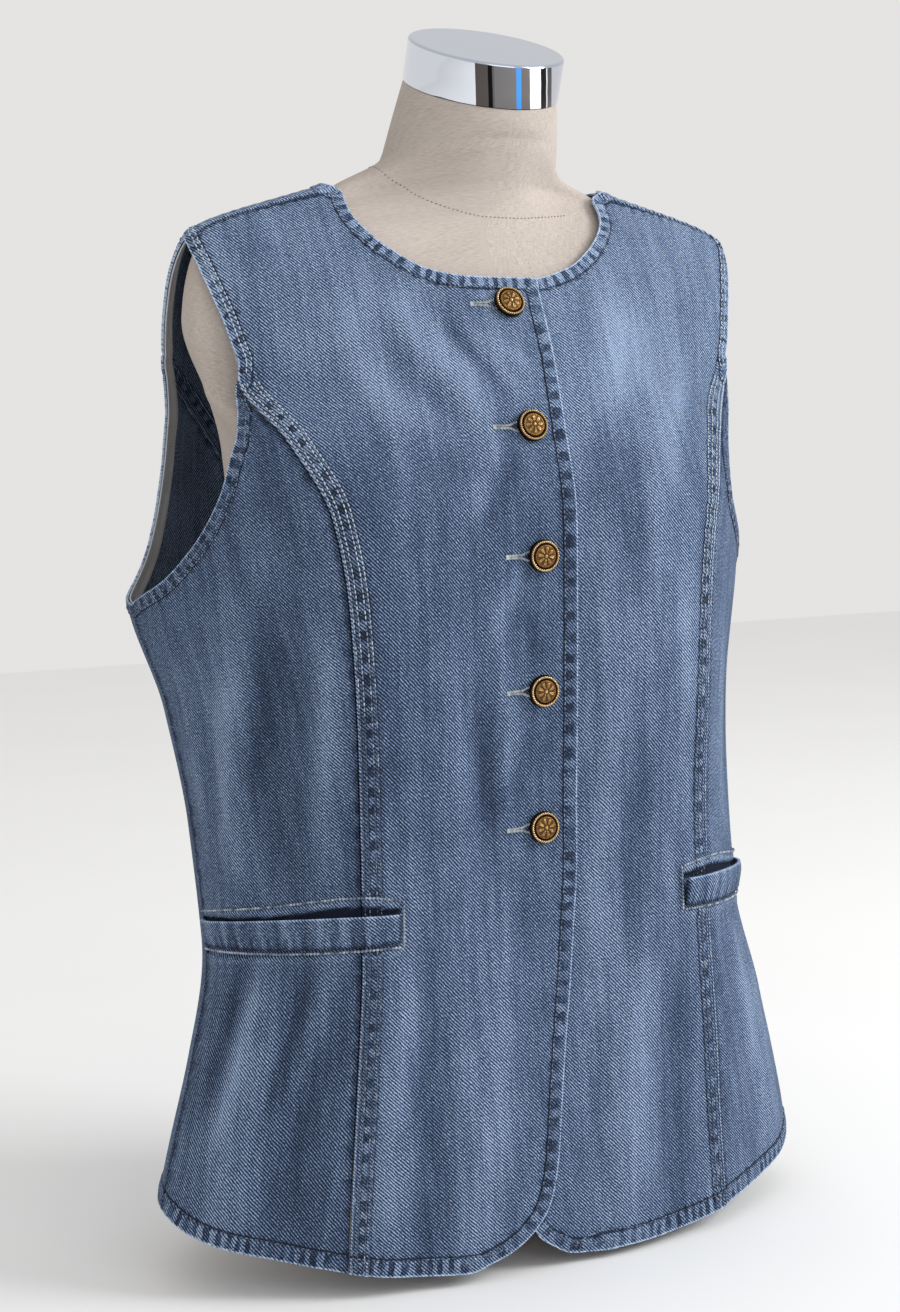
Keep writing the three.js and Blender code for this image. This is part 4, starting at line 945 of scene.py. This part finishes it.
def stitchPiece(name, batches, material):
    # all stitches of one thread colour on one panel, as one piece
    points, triangles, quads, start = [], [], [], 0
    for stations, length, width, height in batches:
        p, t, q = stitchShapes(*stations, length, width, height)
        points.append(p)
        triangles.append(t + start)
        quads.append(q + start)
        start += len(p)
    faces = [np.concatenate(triangles), np.concatenate(quads)]
    piece = putMesh(name, np.concatenate(points), faces, smoothAngle=80)
    piece.data.materials.append(material)
    print(name, "stitches", start // stitchPoints)
    return piece


thread = {"pitch": 2.7, "length": 2.15, "width": 0.7, "height": 0.55}


def sewn(name, rows, material):
    # one row of stitches for each (surface, edge, distance, start share, end share)
    batches = []
    for surface, where, distance, start, end in rows:
        line, normals = lineInside(surface, where, distance, start, end, 0.1)
        stations = resample(line, normals, thread["pitch"], 1.2)
        batches.append((stations, thread["length"], thread["width"], thread["height"]))
    return stitchPiece(name, batches, material)


def seamRowsOf(surface, where, start, end):
    # the four rows of a felled seam
    return [(surface, where, distance, start, end) for distance in denimLook["rows"]]


stitches = {}
for word in ("right", "left"):
    front, sideFront, sideBack = (surfaces[n + word] for n in ("front_", "side_front_", "side_back_"))
    stitches["front_" + word] = [
        sewn("stitches_front_edge_" + word, [
            (front, "left", 7.6, 0.02, 0.605), (front, "left", 7.0, 0.627, 0.995),
            (front, "low", 9.2, 0.02, 1.0), (front, "high", 10.0, 0.0, 1.0)], navyThread),
        sewn("stitches_front_seam_" + word, [
            *seamRowsOf(front, "right", 0.0, frontSplit),
            (front, "right", 7.0, frontSplit + 0.005, 1.0),
            (front, "right", 4.4, frontSplit + 0.005, 1.0)], greyThread)]
    for name, surface in (("side_front_", sideFront), ("side_back_", sideBack)):
        stitches[name + word] = [sewn("stitches_" + name + word, [
            (surface, "low", 9.2, 0.0, 1.0), (surface, "high", 7.0, 0.0, 1.0),
            (surface, "high", 4.4, 0.0, 1.0)], navyThread)]
back = surfaces["back"]
stitches["back"] = [
    sewn("stitches_back_edge", [
        (back, "low", 9.2, 0.0, 1.0), (back, "high", 3.0, 0.0, 0.17), (back, "high", 3.0, 0.83, 1.0),
        (back, "left", 7.0, rowSplit + 0.01, 1.0), (back, "right", 7.0, rowSplit + 0.01, 1.0),
        (back, "left", 4.4, rowSplit + 0.01, 1.0), (back, "right", 4.4, rowSplit + 0.01, 1.0)], navyThread),
    sewn("stitches_back_seam", [
        (back, "high", 7.0, 0.2, 0.8), *seamRowsOf(back, "left", 0.0, rowSplit),
        *seamRowsOf(back, "right", 0.0, rowSplit)], greyThread)]
print("stitches made")

# pocket welts: a folded strip whose top stands proud of the panel
weltLook = {"start": 0.79, "end": 1.994, "columns": 110, "rows": 22, "low": 0.35, "proud": 2.3, "wall": 1.5}


def onPanels(u, z, side, lift):
    # point over the front or side panel, with its folds
    normal = outward(u, z)
    bottom = largeFolds(u, z) + foldHeight(creases, u, z)
    return skin(u, z) + normal * (bottom + lift)[..., None], normal


welts = {}
weltSeams = {}
for word, side in (("right", -1), ("left", 1)):
    across = steps(weltLook["columns"])
    up = steps(weltLook["rows"])
    a = weltLook["start"] + across * (weltLook["end"] - weltLook["start"])
    low = monotoneCurve([0.765, 1.0, 1.6, 2.0], [185.2, 184, 180.6, 178.6])(a)
    top = monotoneCurve([0.765, 0.81, 1.013, 2.0], [201, 200.4, 200.1, 191.8])(a)
    z = low[None] + up[:, None] * (top - low)[None]
    u = side * np.broadcast_to(a, z.shape)
    run = np.linalg.norm(skin(u, z)[:, 1:] - skin(u, z)[:, :-1], axis=-1)
    along = np.concatenate([[0], np.cumsum(run[0])])[None] + 0 * z
    wave = ripple(along, 13.0, 2.0 * side) + 0.5 * ripple(along, 6.5, side)
    share = up[:, None]
    belly = 0.5 * np.sin(math.pi * share) * (1 + 0.3 * wave) - 0.5 * np.exp(-((share / 0.06) ** 2))
    lift = weltLook["low"] + weltLook["proud"] * smooth(share, 0.0, 0.95) + belly
    lift = lift + 0.22 * wave * np.exp(-(share / 0.25) ** 2)
    end = np.minimum(across, 1 - across)[None] * along[0, -1]
    lift = lift * (1 - 0.6 * smooth(np.abs(u), 1.86, 1.99)) - 0.5 * (1 - smooth(end + 0 * z, 0.0, 1.5))
    rim = np.zeros(z.shape)
    rim[[0, -1], :] = rim[:, [0, -1]] = 1
    outer, normal = onPanels(u, z, side, lift + weltLook["wall"] - 0.35 * rim)
    inner, _ = onPanels(u, z, side, lift + 0.35 * rim)
    topEdge = top - z
    fade = -0.05 + 0.09 * wave + 0.45 * np.exp(-((topEdge / 0.8) ** 2))
    # painted shade along the welt's lower seam and at its inner end
    fade = fade - 0.4 * np.exp(-(((z - low) / 1.5) ** 2))
    fade = fade - 0.35 * np.exp(-((end / 1.4) ** 2)) * (across < 0.5)
    tabs = 0.14 * (1 - smooth(share, 0.3, 0.6)) + 0 * z
    surface = {"outer": outer, "inner": inner, "normal": normal, "map": clothMap(u, z, side * 1.5),
               "fields": {"fade": fade, "edgeShare": 9 + 0 * z, "seamOff": 90 + 0 * z, "rowOff": 90 + 0 * z,
                          "dark": 0 * z, "phase": along / 5.0, "tabs": tabs}}
    welts[word] = panelPiece("cloth_pocket_welt_" + word, surface, side < 0, denim)
    frameA = np.linspace(0.785, 1.99, 90)
    frameLow = monotoneCurve([0.765, 1.0, 1.6, 2.0], [183.2, 182.2, 178.8, 176.8])(frameA)
    frameTop = monotoneCurve([0.76, 0.8, 1.02, 1.5, 2.0], [204.4, 207.2, 209.4, 203.2, 196.2])(frameA)
    barZ = np.linspace(183, 207, 20)
    rows = [(side * frameA, frameLow), (side * frameA, frameTop), (side * np.full(20, 0.771), barZ)]
    batches = []
    for lineU, lineZ in rows:
        line, normals = onPanels(lineU, lineZ, side, np.full(len(lineU), 1.0))
        batches.append((resample(line, normals, 1.9), 1.8, 1.35, 1.0))
    weltSeams[word] = stitchPiece("stitches_pocket_" + word, batches, ropeThread)
print("pockets made")

# armhole facings: grey tape behind the armhole edges
facingLook = {"gap": 0.55, "wall": 0.8, "width": 9.0}
facings = {}
for word, side in (("right", -1), ("left", 1)):
    front, sideFront, sideBack = (surfaces[n + word] for n in ("front_", "side_front_", "side_back_"))
    strips = []
    edges = [
        (front, "right", frontSplit, True), (sideFront, "high", 0.0, False),
        (sideBack, "high", 0.0, False), (back, "left" if side > 0 else "right", rowSplit, False),
    ]
    for surface, where, start, reverse in edges:
        lines = [lineInside({**surface, "outer": surface["inner"]}, where, d, start, 1.0, -facingLook["gap"])
                 for d in np.linspace(0.3, facingLook["width"], 7)]
        grid = np.stack([l[0] for l in lines]), np.stack([l[1] for l in lines])
        strips.append([g[:, ::-1] if reverse else g for g in grid])
    points = np.concatenate([s[0] for s in strips], 1)[::-1]
    normals = np.concatenate([s[1] for s in strips], 1)[::-1]
    keep = np.concatenate([[True], np.linalg.norm(np.diff(points[-1], axis=0), axis=1) > 0.7])
    points, normals = points[:, keep], normals[:, keep]
    for _ in range(3):
        points[:, 1:-1] = (points[:, :-2] + 2 * points[:, 1:-1] + points[:, 2:]) / 4
    surface = {"outer": points, "inner": points - normals * facingLook["wall"], "normal": normals,
               "map": points[..., 1:] * 0.001, "fields": {}}
    facings[word] = panelPiece("cloth_armhole_facing_" + word, surface, side < 0, facingCotton)
print("facings made")


def lathe(rings, parts):
    # quads between closed rings and a fan at each end; rings include one point at both ends
    k = np.arange(parts)
    after = (k + 1) % parts
    starts = np.arange(rings) * parts
    sides = np.concatenate([np.stack([first + k, first + after, first + parts + after, first + parts + k], -1)
                            for first in starts[:-1]])
    low, high = rings * parts, rings * parts + 1
    bottomFan = np.stack([0 * k + low, after, k], -1)
    topFan = np.stack([starts[-1] + k, starts[-1] + after, 0 * k + high], -1)
    return [np.concatenate([bottomFan, topFan]), sides]


def formPoint(u, z):
    # section through five points set in from the cloth, rounded in at the base, turning to the neck rings
    a = np.minimum(np.abs(u), 3.99999)
    i = np.floor(a).astype(int)
    level = np.minimum(z, 574.0)
    at = [skin(float(k), level) - outward(float(k), level) * insetAt[k](z)[..., None] for k in range(5)]
    across, middle = np.array([-1.0, 1, 1]), np.array([0, 1.0, 1])
    knots = np.stack([at[1] * across, at[0] * middle, at[1], at[2], at[3], at[4] * middle, at[3] * across])
    k = [np.take_along_axis(knots, (i + step)[None, ..., None], 0)[0] for step in range(4)]
    body = hermite((a - i)[..., None], k[1], k[2], (k[2] - k[0]) / 2, (k[3] - k[1]) / 2)
    body[..., 0] *= np.where(u < 0, -1, 1)
    body[..., 2] = z + (body[..., 2] - level) * smooth(z, 430, 520)
    low = np.maximum(1 - z / baseRound["height"], 0)
    centre = np.stack([0 * z, 0 * z, body[..., 2]], -1)
    reach = np.linalg.norm(body - centre, axis=-1)
    body = body + (centre - body) * (baseRound["depth"] * (1 - np.sqrt(1 - low**2)) / reach)[..., None]
    angle = u * math.pi / 4
    neckX, neckY, wide, deep = (f(z) for f in neckAt)
    ring = np.stack([neckX + wide * np.sin(angle), neckY - deep * np.cos(angle), z], -1)
    rise = np.where(a < 2, monotoneCurve(*np.array(neckline).T)(a),
                    monotoneCurve(*np.array([(2, 574)] + backNeckline).T)(a))
    steeper = smooth(u, 0.6, 1.6) * (1 - smooth(u, 2.6, 3.6))
    t = np.clip((z - rise) / (592 - 8 * steeper - rise), 0, 1)
    return body + (ring - body) * (t * t * (3 - 2 * t))[..., None]


def capFrame():
    # middle of the cap's lower face, its axis and its forward direction
    tilt = math.radians(cap["tilt"])
    axis = np.array([0, -math.sin(tilt), math.cos(tilt)])
    ahead = np.array([0, -math.cos(tilt), -math.sin(tilt)])
    bottom = np.array(cap["centre"]) - axis * cap["height"]
    return bottom, axis, ahead


formParts = count(200)
spans = [(0, 60, 30), (64, 500, 110), (503, neckTop, 70)]
levels = np.concatenate([np.linspace(low, high, count(rows)) for low, high, rows in spans])
turn = np.arange(formParts) * 8 / formParts
turn = np.where(turn > 4, turn - 8, turn)
u, z = np.meshgrid(turn, levels)
rings = formPoint(u, z)
bottom, axis, ahead = capFrame()
neckRows = count(24)
share = (np.arange(1, neckRows + 1) / neckRows)[:, None]
start = np.array([f(neckTop) for f in neckAt])
neckStart, topPoint = np.array([start[0], start[1], neckTop]), bottom - axis * 0.35
middle = (1 - share)[..., None] * neckStart + share[..., None] * topPoint
radius = start[2] + share * (cap["radius"] - 0.6 - start[2])
slant = share * math.radians(cap["tilt"])
angle = (np.arange(formParts) * 2 * math.pi / formParts)[None]
forward = -radius * np.cos(angle)
upper = np.stack([middle[..., 0] + radius * np.sin(angle), middle[..., 1] + forward * np.cos(slant),
                  middle[..., 2] + forward * np.sin(slant)], -1)
rings = np.concatenate([rings, upper])
# heights of the seam where the neck is sewn on, round from the back over the front to the back
seamTable = [(-4, 590), (-3, 588), (-2, 585.5), (-1.5, 582), (-1, 574.7), (-0.69, 568.6), (-0.46, 563.3),
             (-0.28, 559.8), (0, 556.3), (0.24, 556), (0.49, 557.5), (0.73, 560), (1.1, 565), (1.6, 572.5),
             (2.2, 580), (3, 586), (4, 590)]
seamAt = monotoneCurve(*np.array(seamTable).T)
stretch = np.concatenate([rings, rings[:, :1]], 1)
runAround = runAcross(stretch)[:, :-1]
formUv = np.stack([runAround * 0.001, rings[..., 2] * 0.001], -1).reshape(-1, 2)
formPoints = np.concatenate([rings.reshape(-1, 3), [[0, 0, 0]], [topPoint]])
formUv = np.concatenate([formUv, [[0, 0], [0, 0]]])
formPiece = putMesh("dress_form", formPoints, lathe(len(rings), formParts), formUv)
formPiece.data.materials.append(linen)
print("form made")

# stitches where the neck is sewn on, and a faint row down the centre front
neckTurn = np.linspace(-3.4, 0.66, 300)
neckLevel = seamAt(neckTurn)
for _ in range(3):
    neckLevel = neckLevel + seamAt(neckTurn) - formPoint(neckTurn, neckLevel)[:, 2]
neckSeam = formPoint(neckTurn, neckLevel)
neckOut = neckSeam - np.array([start[0], start[1], 0]) - np.array([0, 0, 1.0]) * neckSeam[:, 2:]
neckOut[:, 2] = 8
neckOut /= np.linalg.norm(neckOut, axis=1, keepdims=True)
frontTurn, frontLevel = np.full(30, 0.18), np.linspace(517, 553, 30)
frontSeam = formPoint(frontTurn, frontLevel)
formStitches = stitchPiece("stitches_neck_seam", [
    (resample(neckSeam + neckOut * 0.05, neckOut, 2.4), 1.1, 0.6, 0.4),
    (resample(frontSeam, outward(frontTurn, frontLevel), 2.6), 0.9, 0.3, 0.2)], brownThread)

# polished cap: drum with a rounded rim, as radius and height up from its bottom
capParts = 128
capR, capH, capRound = cap["radius"], cap["height"], 1.6
capProfile = [(capR - 0.6, 0), (capR - 0.15, 0.15), (capR, 0.6), (capR, 8), (capR, 16)]
for bend in np.arange(9) / 8 * math.pi / 2:
    across, rise = capRound * math.cos(bend), capRound * math.sin(bend)
    capProfile.append((capR - capRound + across, capH - capRound + rise))
capProfile += [(39.2, capH), (36, capH - 0.05), (20, capH)]
angle = np.arange(capParts) * 2 * math.pi / capParts
spokes = np.cos(angle)[:, None] * ahead + np.sin(angle)[:, None] * np.array([1.0, 0, 0])
capRings = np.stack([bottom + axis * h + r * spokes for r, h in capProfile])
capPoints = np.concatenate([capRings.reshape(-1, 3), [bottom], [bottom + axis * capH]])
# the band field places the painted reflection across the cap along the camera's sideways direction; the side
# field picks the side's bands or the top's painted ceiling
seen = np.array([math.cos(math.radians(camera["yaw"])), -math.sin(math.radians(camera["yaw"])), 0])
capBand = 0.5 + (capRings - np.array(cap["centre"])) @ seen / (2 * capR)
capSide = np.array([h < capH - 1.0 for _, h in capProfile], float)[:, None] + 0 * capBand
capPiece = putMesh("polished_neck_cap", capPoints, lathe(len(capProfile), capParts), smoothAngle=35, fields={
    "band": np.concatenate([capBand.ravel(), [0.5, 0.5]]), "side": np.concatenate([capSide.ravel(), [0, 0]])})
capPiece.data.materials.append(chrome)

# buttons: domed shank buttons with a roped rim and a raised petal motif
buttonLook = {"scale": 1.133, "gap": 0.55, "petals": 8, "ropes": 40, "parts": 160}


def buttonPoints():
    # height over the back plate for radius r and angle a, and how worn the spot is
    r = np.concatenate([np.linspace(0.25, 5.4, 26), np.linspace(5.6, 7.5, 12)])
    a = np.arange(buttonLook["parts"]) * 2 * math.pi / buttonLook["parts"]
    r, a = np.meshgrid(r, a, indexing="ij")
    dome = 4.35 - 0.022 * r**2
    petal = np.cos(buttonLook["petals"] * a / 2) ** 2
    motif = 0.45 * smooth(petal, 0.25, 0.7) * smooth(r, 1.3, 1.8)
    motif = motif * (1 - smooth(r, 3.3 + 0.5 * petal, 4.0 + 0.5 * petal))
    motif = motif - 0.2 * np.exp(-((petal - 1) / 0.03) ** 2) * smooth(r, 1.6, 2.2) * (1 - smooth(r, 3.2, 3.8))
    motif = motif + 0.5 * (1 - smooth(r, 0.5, 1.1)) + 0.25 * np.exp(-(((r - 4.9) / 0.22) ** 2))
    dots = np.cos(16 * a) ** 2
    motif = motif + 0.2 * smooth(dots, 0.4, 0.8) * np.exp(-(((r - 4.35) / 0.28) ** 2))
    rope = np.cos(buttonLook["ropes"] * a / 2 + 2.2 * (r - 6.5)) ** 2
    ring = np.exp(-(((r - 6.65) / 0.55) ** 2)) * (0.25 + 0.55 * rope)
    gutter = -0.55 * np.exp(-(((r - 5.65) / 0.3) ** 2))
    edge = -2.2 * smooth(r, 7.05, 7.6) ** 2
    height = dome + motif + ring + gutter + edge
    worn = 0.34 + 0.9 * motif + 1.05 * ring + 0.9 * gutter - 0.4 * smooth(r, 6.9, 7.3)
    return r, a, height, worn


buttons = []
buttonR, buttonA, buttonHeight, buttonWorn = buttonPoints()
for number, z in enumerate(buttonHeights):
    normal = outward(0.0, float(z))
    right = np.cross([0, 0, 1.0], normal)
    right = -right / np.linalg.norm(right)
    top = np.cross(normal, right)
    spin = 0.6 * number + 0.2
    crease = float(foldHeight(creases, np.array(0.0), float(z)))
    base = skin(0.0, float(z)) + normal * (lap["lift"] + buttonLook["gap"] + crease)
    wide = buttonLook["scale"]
    spots = lambda r, a, h: (base + (wide * r * np.cos(a + spin))[..., None] * right
                             + (wide * r * np.sin(a + spin))[..., None] * top + h[..., None] * normal)
    face = spots(buttonR, buttonA, buttonHeight)[::-1]
    backR = np.array([7.35, 6.9, 6.2, 2.7, 2.6])[:, None] + 0 * buttonA[:1]
    backH = np.array([2.0, 1.75, 1.7, 1.6, 0.0])[:, None] + 0 * buttonA[:1]
    rear = spots(backR, np.repeat(buttonA[:1], 5, 0), backH)[::-1]
    rings = np.concatenate([rear, face])
    ends = np.stack([base, base + normal * (buttonHeight[0].mean() + 0.02)])
    worn = np.concatenate([np.full(rear.shape[:2], 0.15), buttonWorn[::-1]]).ravel()
    worn = np.concatenate([worn, [0.2, 0.9]])
    piece = putMesh(f"brass_button_{number + 1}", np.concatenate([rings.reshape(-1, 3), ends]),
                    lathe(len(rings), buttonLook["parts"]), fields={"worn": worn}, smoothAngle=60)
    piece.data.materials.append(brass)
    buttons.append(piece)
print("buttons made")

# buttonholes: pale whipped edges either side of a slit, with an eye by the button
holeLook = {"length": 20.5, "half": 0.75, "pitch": 0.85}
batches = []
for z in buttonHeights:
    x = -np.arange(7.0, holeLook["length"], holeLook["pitch"])
    for sign in (-1, 1):
        spread = np.interp(-x, [7, 9, 12, holeLook["length"]], [2.3, 2.0, 0.75, 0.55])
        holeU = acrossFront(x, np.full(len(x), float(z)))
        holeZ = z + sign * spread
        points, normals = onPanels(holeU, holeZ, -1, np.full(len(x), lap["lift"] + 0.12))
        across = np.tile([0.12, 0.0, 1.0], (len(x), 1)) * sign
        across = across - (across * normals).sum(1)[:, None] * normals
        across /= np.linalg.norm(across, axis=1, keepdims=True)
        batches.append(((points, across, normals), 1.5, 0.72, 0.65))
    tail = np.linspace(-0.9, 0.9, 5)
    tailX = np.full(5, -holeLook["length"] - 0.3)
    holeU = acrossFront(tailX, np.full(5, float(z)))
    points, normals = onPanels(holeU, z + tail, -1, np.full(5, lap["lift"] + 0.15))
    along = np.tile([1.0, 0, 0], (5, 1))
    along = along - (along * normals).sum(1)[:, None] * normals
    along /= np.linalg.norm(along, axis=1, keepdims=True)
    batches.append(((points, along, normals), 2.0, 0.6, 0.6))
holes = stitchPiece("buttonhole_stitches", batches, paleThread)
print("buttonholes made")

cuts = {
    "front_right": (0.185, 0.583, 0.0741), "front_left": (0.185, 0.583, 0.0771),
    "side_front_right": (0.141, 0.472, 0.0443), "side_front_left": (0.141, 0.474, 0.0423),
    "side_back_right": (0.147, 0.447, 0.0502), "side_back_left": (0.147, 0.45, 0.051),
    "back": (0.329, 0.566, 0.1298),
}
for name, (width, length, area) in cuts.items():
    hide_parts(name)
for word in ("right", "left"):
    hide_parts("pocket_welt_" + word)
    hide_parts("armhole_facing_" + word)
for number, piece in enumerate(buttons):
    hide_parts(f"button_{number + 1}")
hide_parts("form_body")
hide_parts("neck_cap")
everything = [formStitches, *pieces.values(), *welts.values(), *facings.values(), *buttons, formPiece,
              capPiece, holes, *sum(stitches.values(), []), *weltSeams.values()]
for piece in everything:
    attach(piece, "root")
print("pieces declared")

# plain pale floor and soft studio light
floorMesh = bpy.data.meshes.new("floor")
floorMesh.from_pydata([(-4, -4, 0), (4, -4, 0), (4, 4, 0), (-4, 4, 0)], [], [(0, 1, 2, 3)])
floor = bpy.data.objects.new("floor", floorMesh)
bpy.context.scene.collection.objects.link(floor)
floorMaterial = bpy.data.materials.new("paleFloor")
floorTools = shaderTools(floorMaterial)
floorTone = floorTools["noise"](floorTools["make"]("ShaderNodeTexCoord").outputs["Object"], 3.0)
floorColor = floorTools["ramp"](floorTone, [(0.0, (0.86, 0.86, 0.86)), (1.0, (0.9, 0.9, 0.9))])
floorTools["paint"](floorColor, 0.9)
floorMesh.materials.append(floorMaterial)


def turnedTo(right, up, ahead, location):
    # matrix whose columns are right, up and backwards, with its place
    matrix = Matrix.Identity(4)
    for row in range(3):
        matrix[row][0], matrix[row][1] = right[row], up[row]
        matrix[row][2], matrix[row][3] = -ahead[row], location[row]
    return matrix


def aimed(location, target):
    # turned so that it looks at the target, upright
    direction = np.array(target, float) - np.array(location, float)
    direction /= np.linalg.norm(direction)
    right = np.cross(direction, [0, 0, 1.0])
    right /= np.linalg.norm(right)
    return turnedTo(right, np.cross(right, direction), direction, location)


lamps = [
    {"name": "keySoftbox", "place": (2.0, -1.5, 1.7), "target": (0, 0, 0.36),
     "size": 1.3, "power": 56, "color": (0.97, 0.985, 1)},
    {"name": "frontSoftbox", "place": (0.1, -2.6, 1.2), "target": (0, 0, 0.34),
     "size": 1.6, "power": 10, "color": (0.98, 0.99, 1)},
]
for lamp in lamps:
    data = bpy.data.lights.new(lamp["name"], "AREA")
    data.shape = "SQUARE"
    data.size = lamp["size"]
    data.energy = lamp["power"]
    data.color = lamp["color"]
    light = bpy.data.objects.new(lamp["name"], data)
    light.matrix_world = aimed(lamp["place"], lamp["target"])
    bpy.context.scene.collection.objects.link(light)
world = bpy.data.worlds.new("studio")
bpy.context.scene.world = world
world.use_nodes = True
world.node_tree.nodes["Background"].inputs["Color"].default_value = (1, 0.99, 0.975, 1)
world.node_tree.nodes["Background"].inputs["Strength"].default_value = 0.78
bpy.context.scene.view_settings.view_transform = "Standard"

yaw, pitch, roll = (math.radians(camera[k]) for k in ("yaw", "pitch", "roll"))
levelRight = np.array([math.cos(yaw), -math.sin(yaw), 0])
levelAhead = np.array([math.sin(yaw), math.cos(yaw), 0])
ahead = math.cos(pitch) * levelAhead - math.sin(pitch) * np.array([0, 0, 1.0])
above = math.sin(pitch) * levelAhead + math.cos(pitch) * np.array([0, 0, 1.0])
right = math.cos(roll) * levelRight + math.sin(roll) * above
up = -math.sin(roll) * levelRight + math.cos(roll) * above
cameraData = bpy.data.cameras.new("photoCamera")
cameraData.lens = camera["lens"]
cameraData.sensor_width = 36
cameraData.clip_start = 0.05
viewer = bpy.data.objects.new("photoCamera", cameraData)
viewer.matrix_world = turnedTo(right, up, ahead, camera["place"])
bpy.context.scene.collection.objects.link(viewer)
bpy.context.scene.camera = viewer
print("camera and lights made")
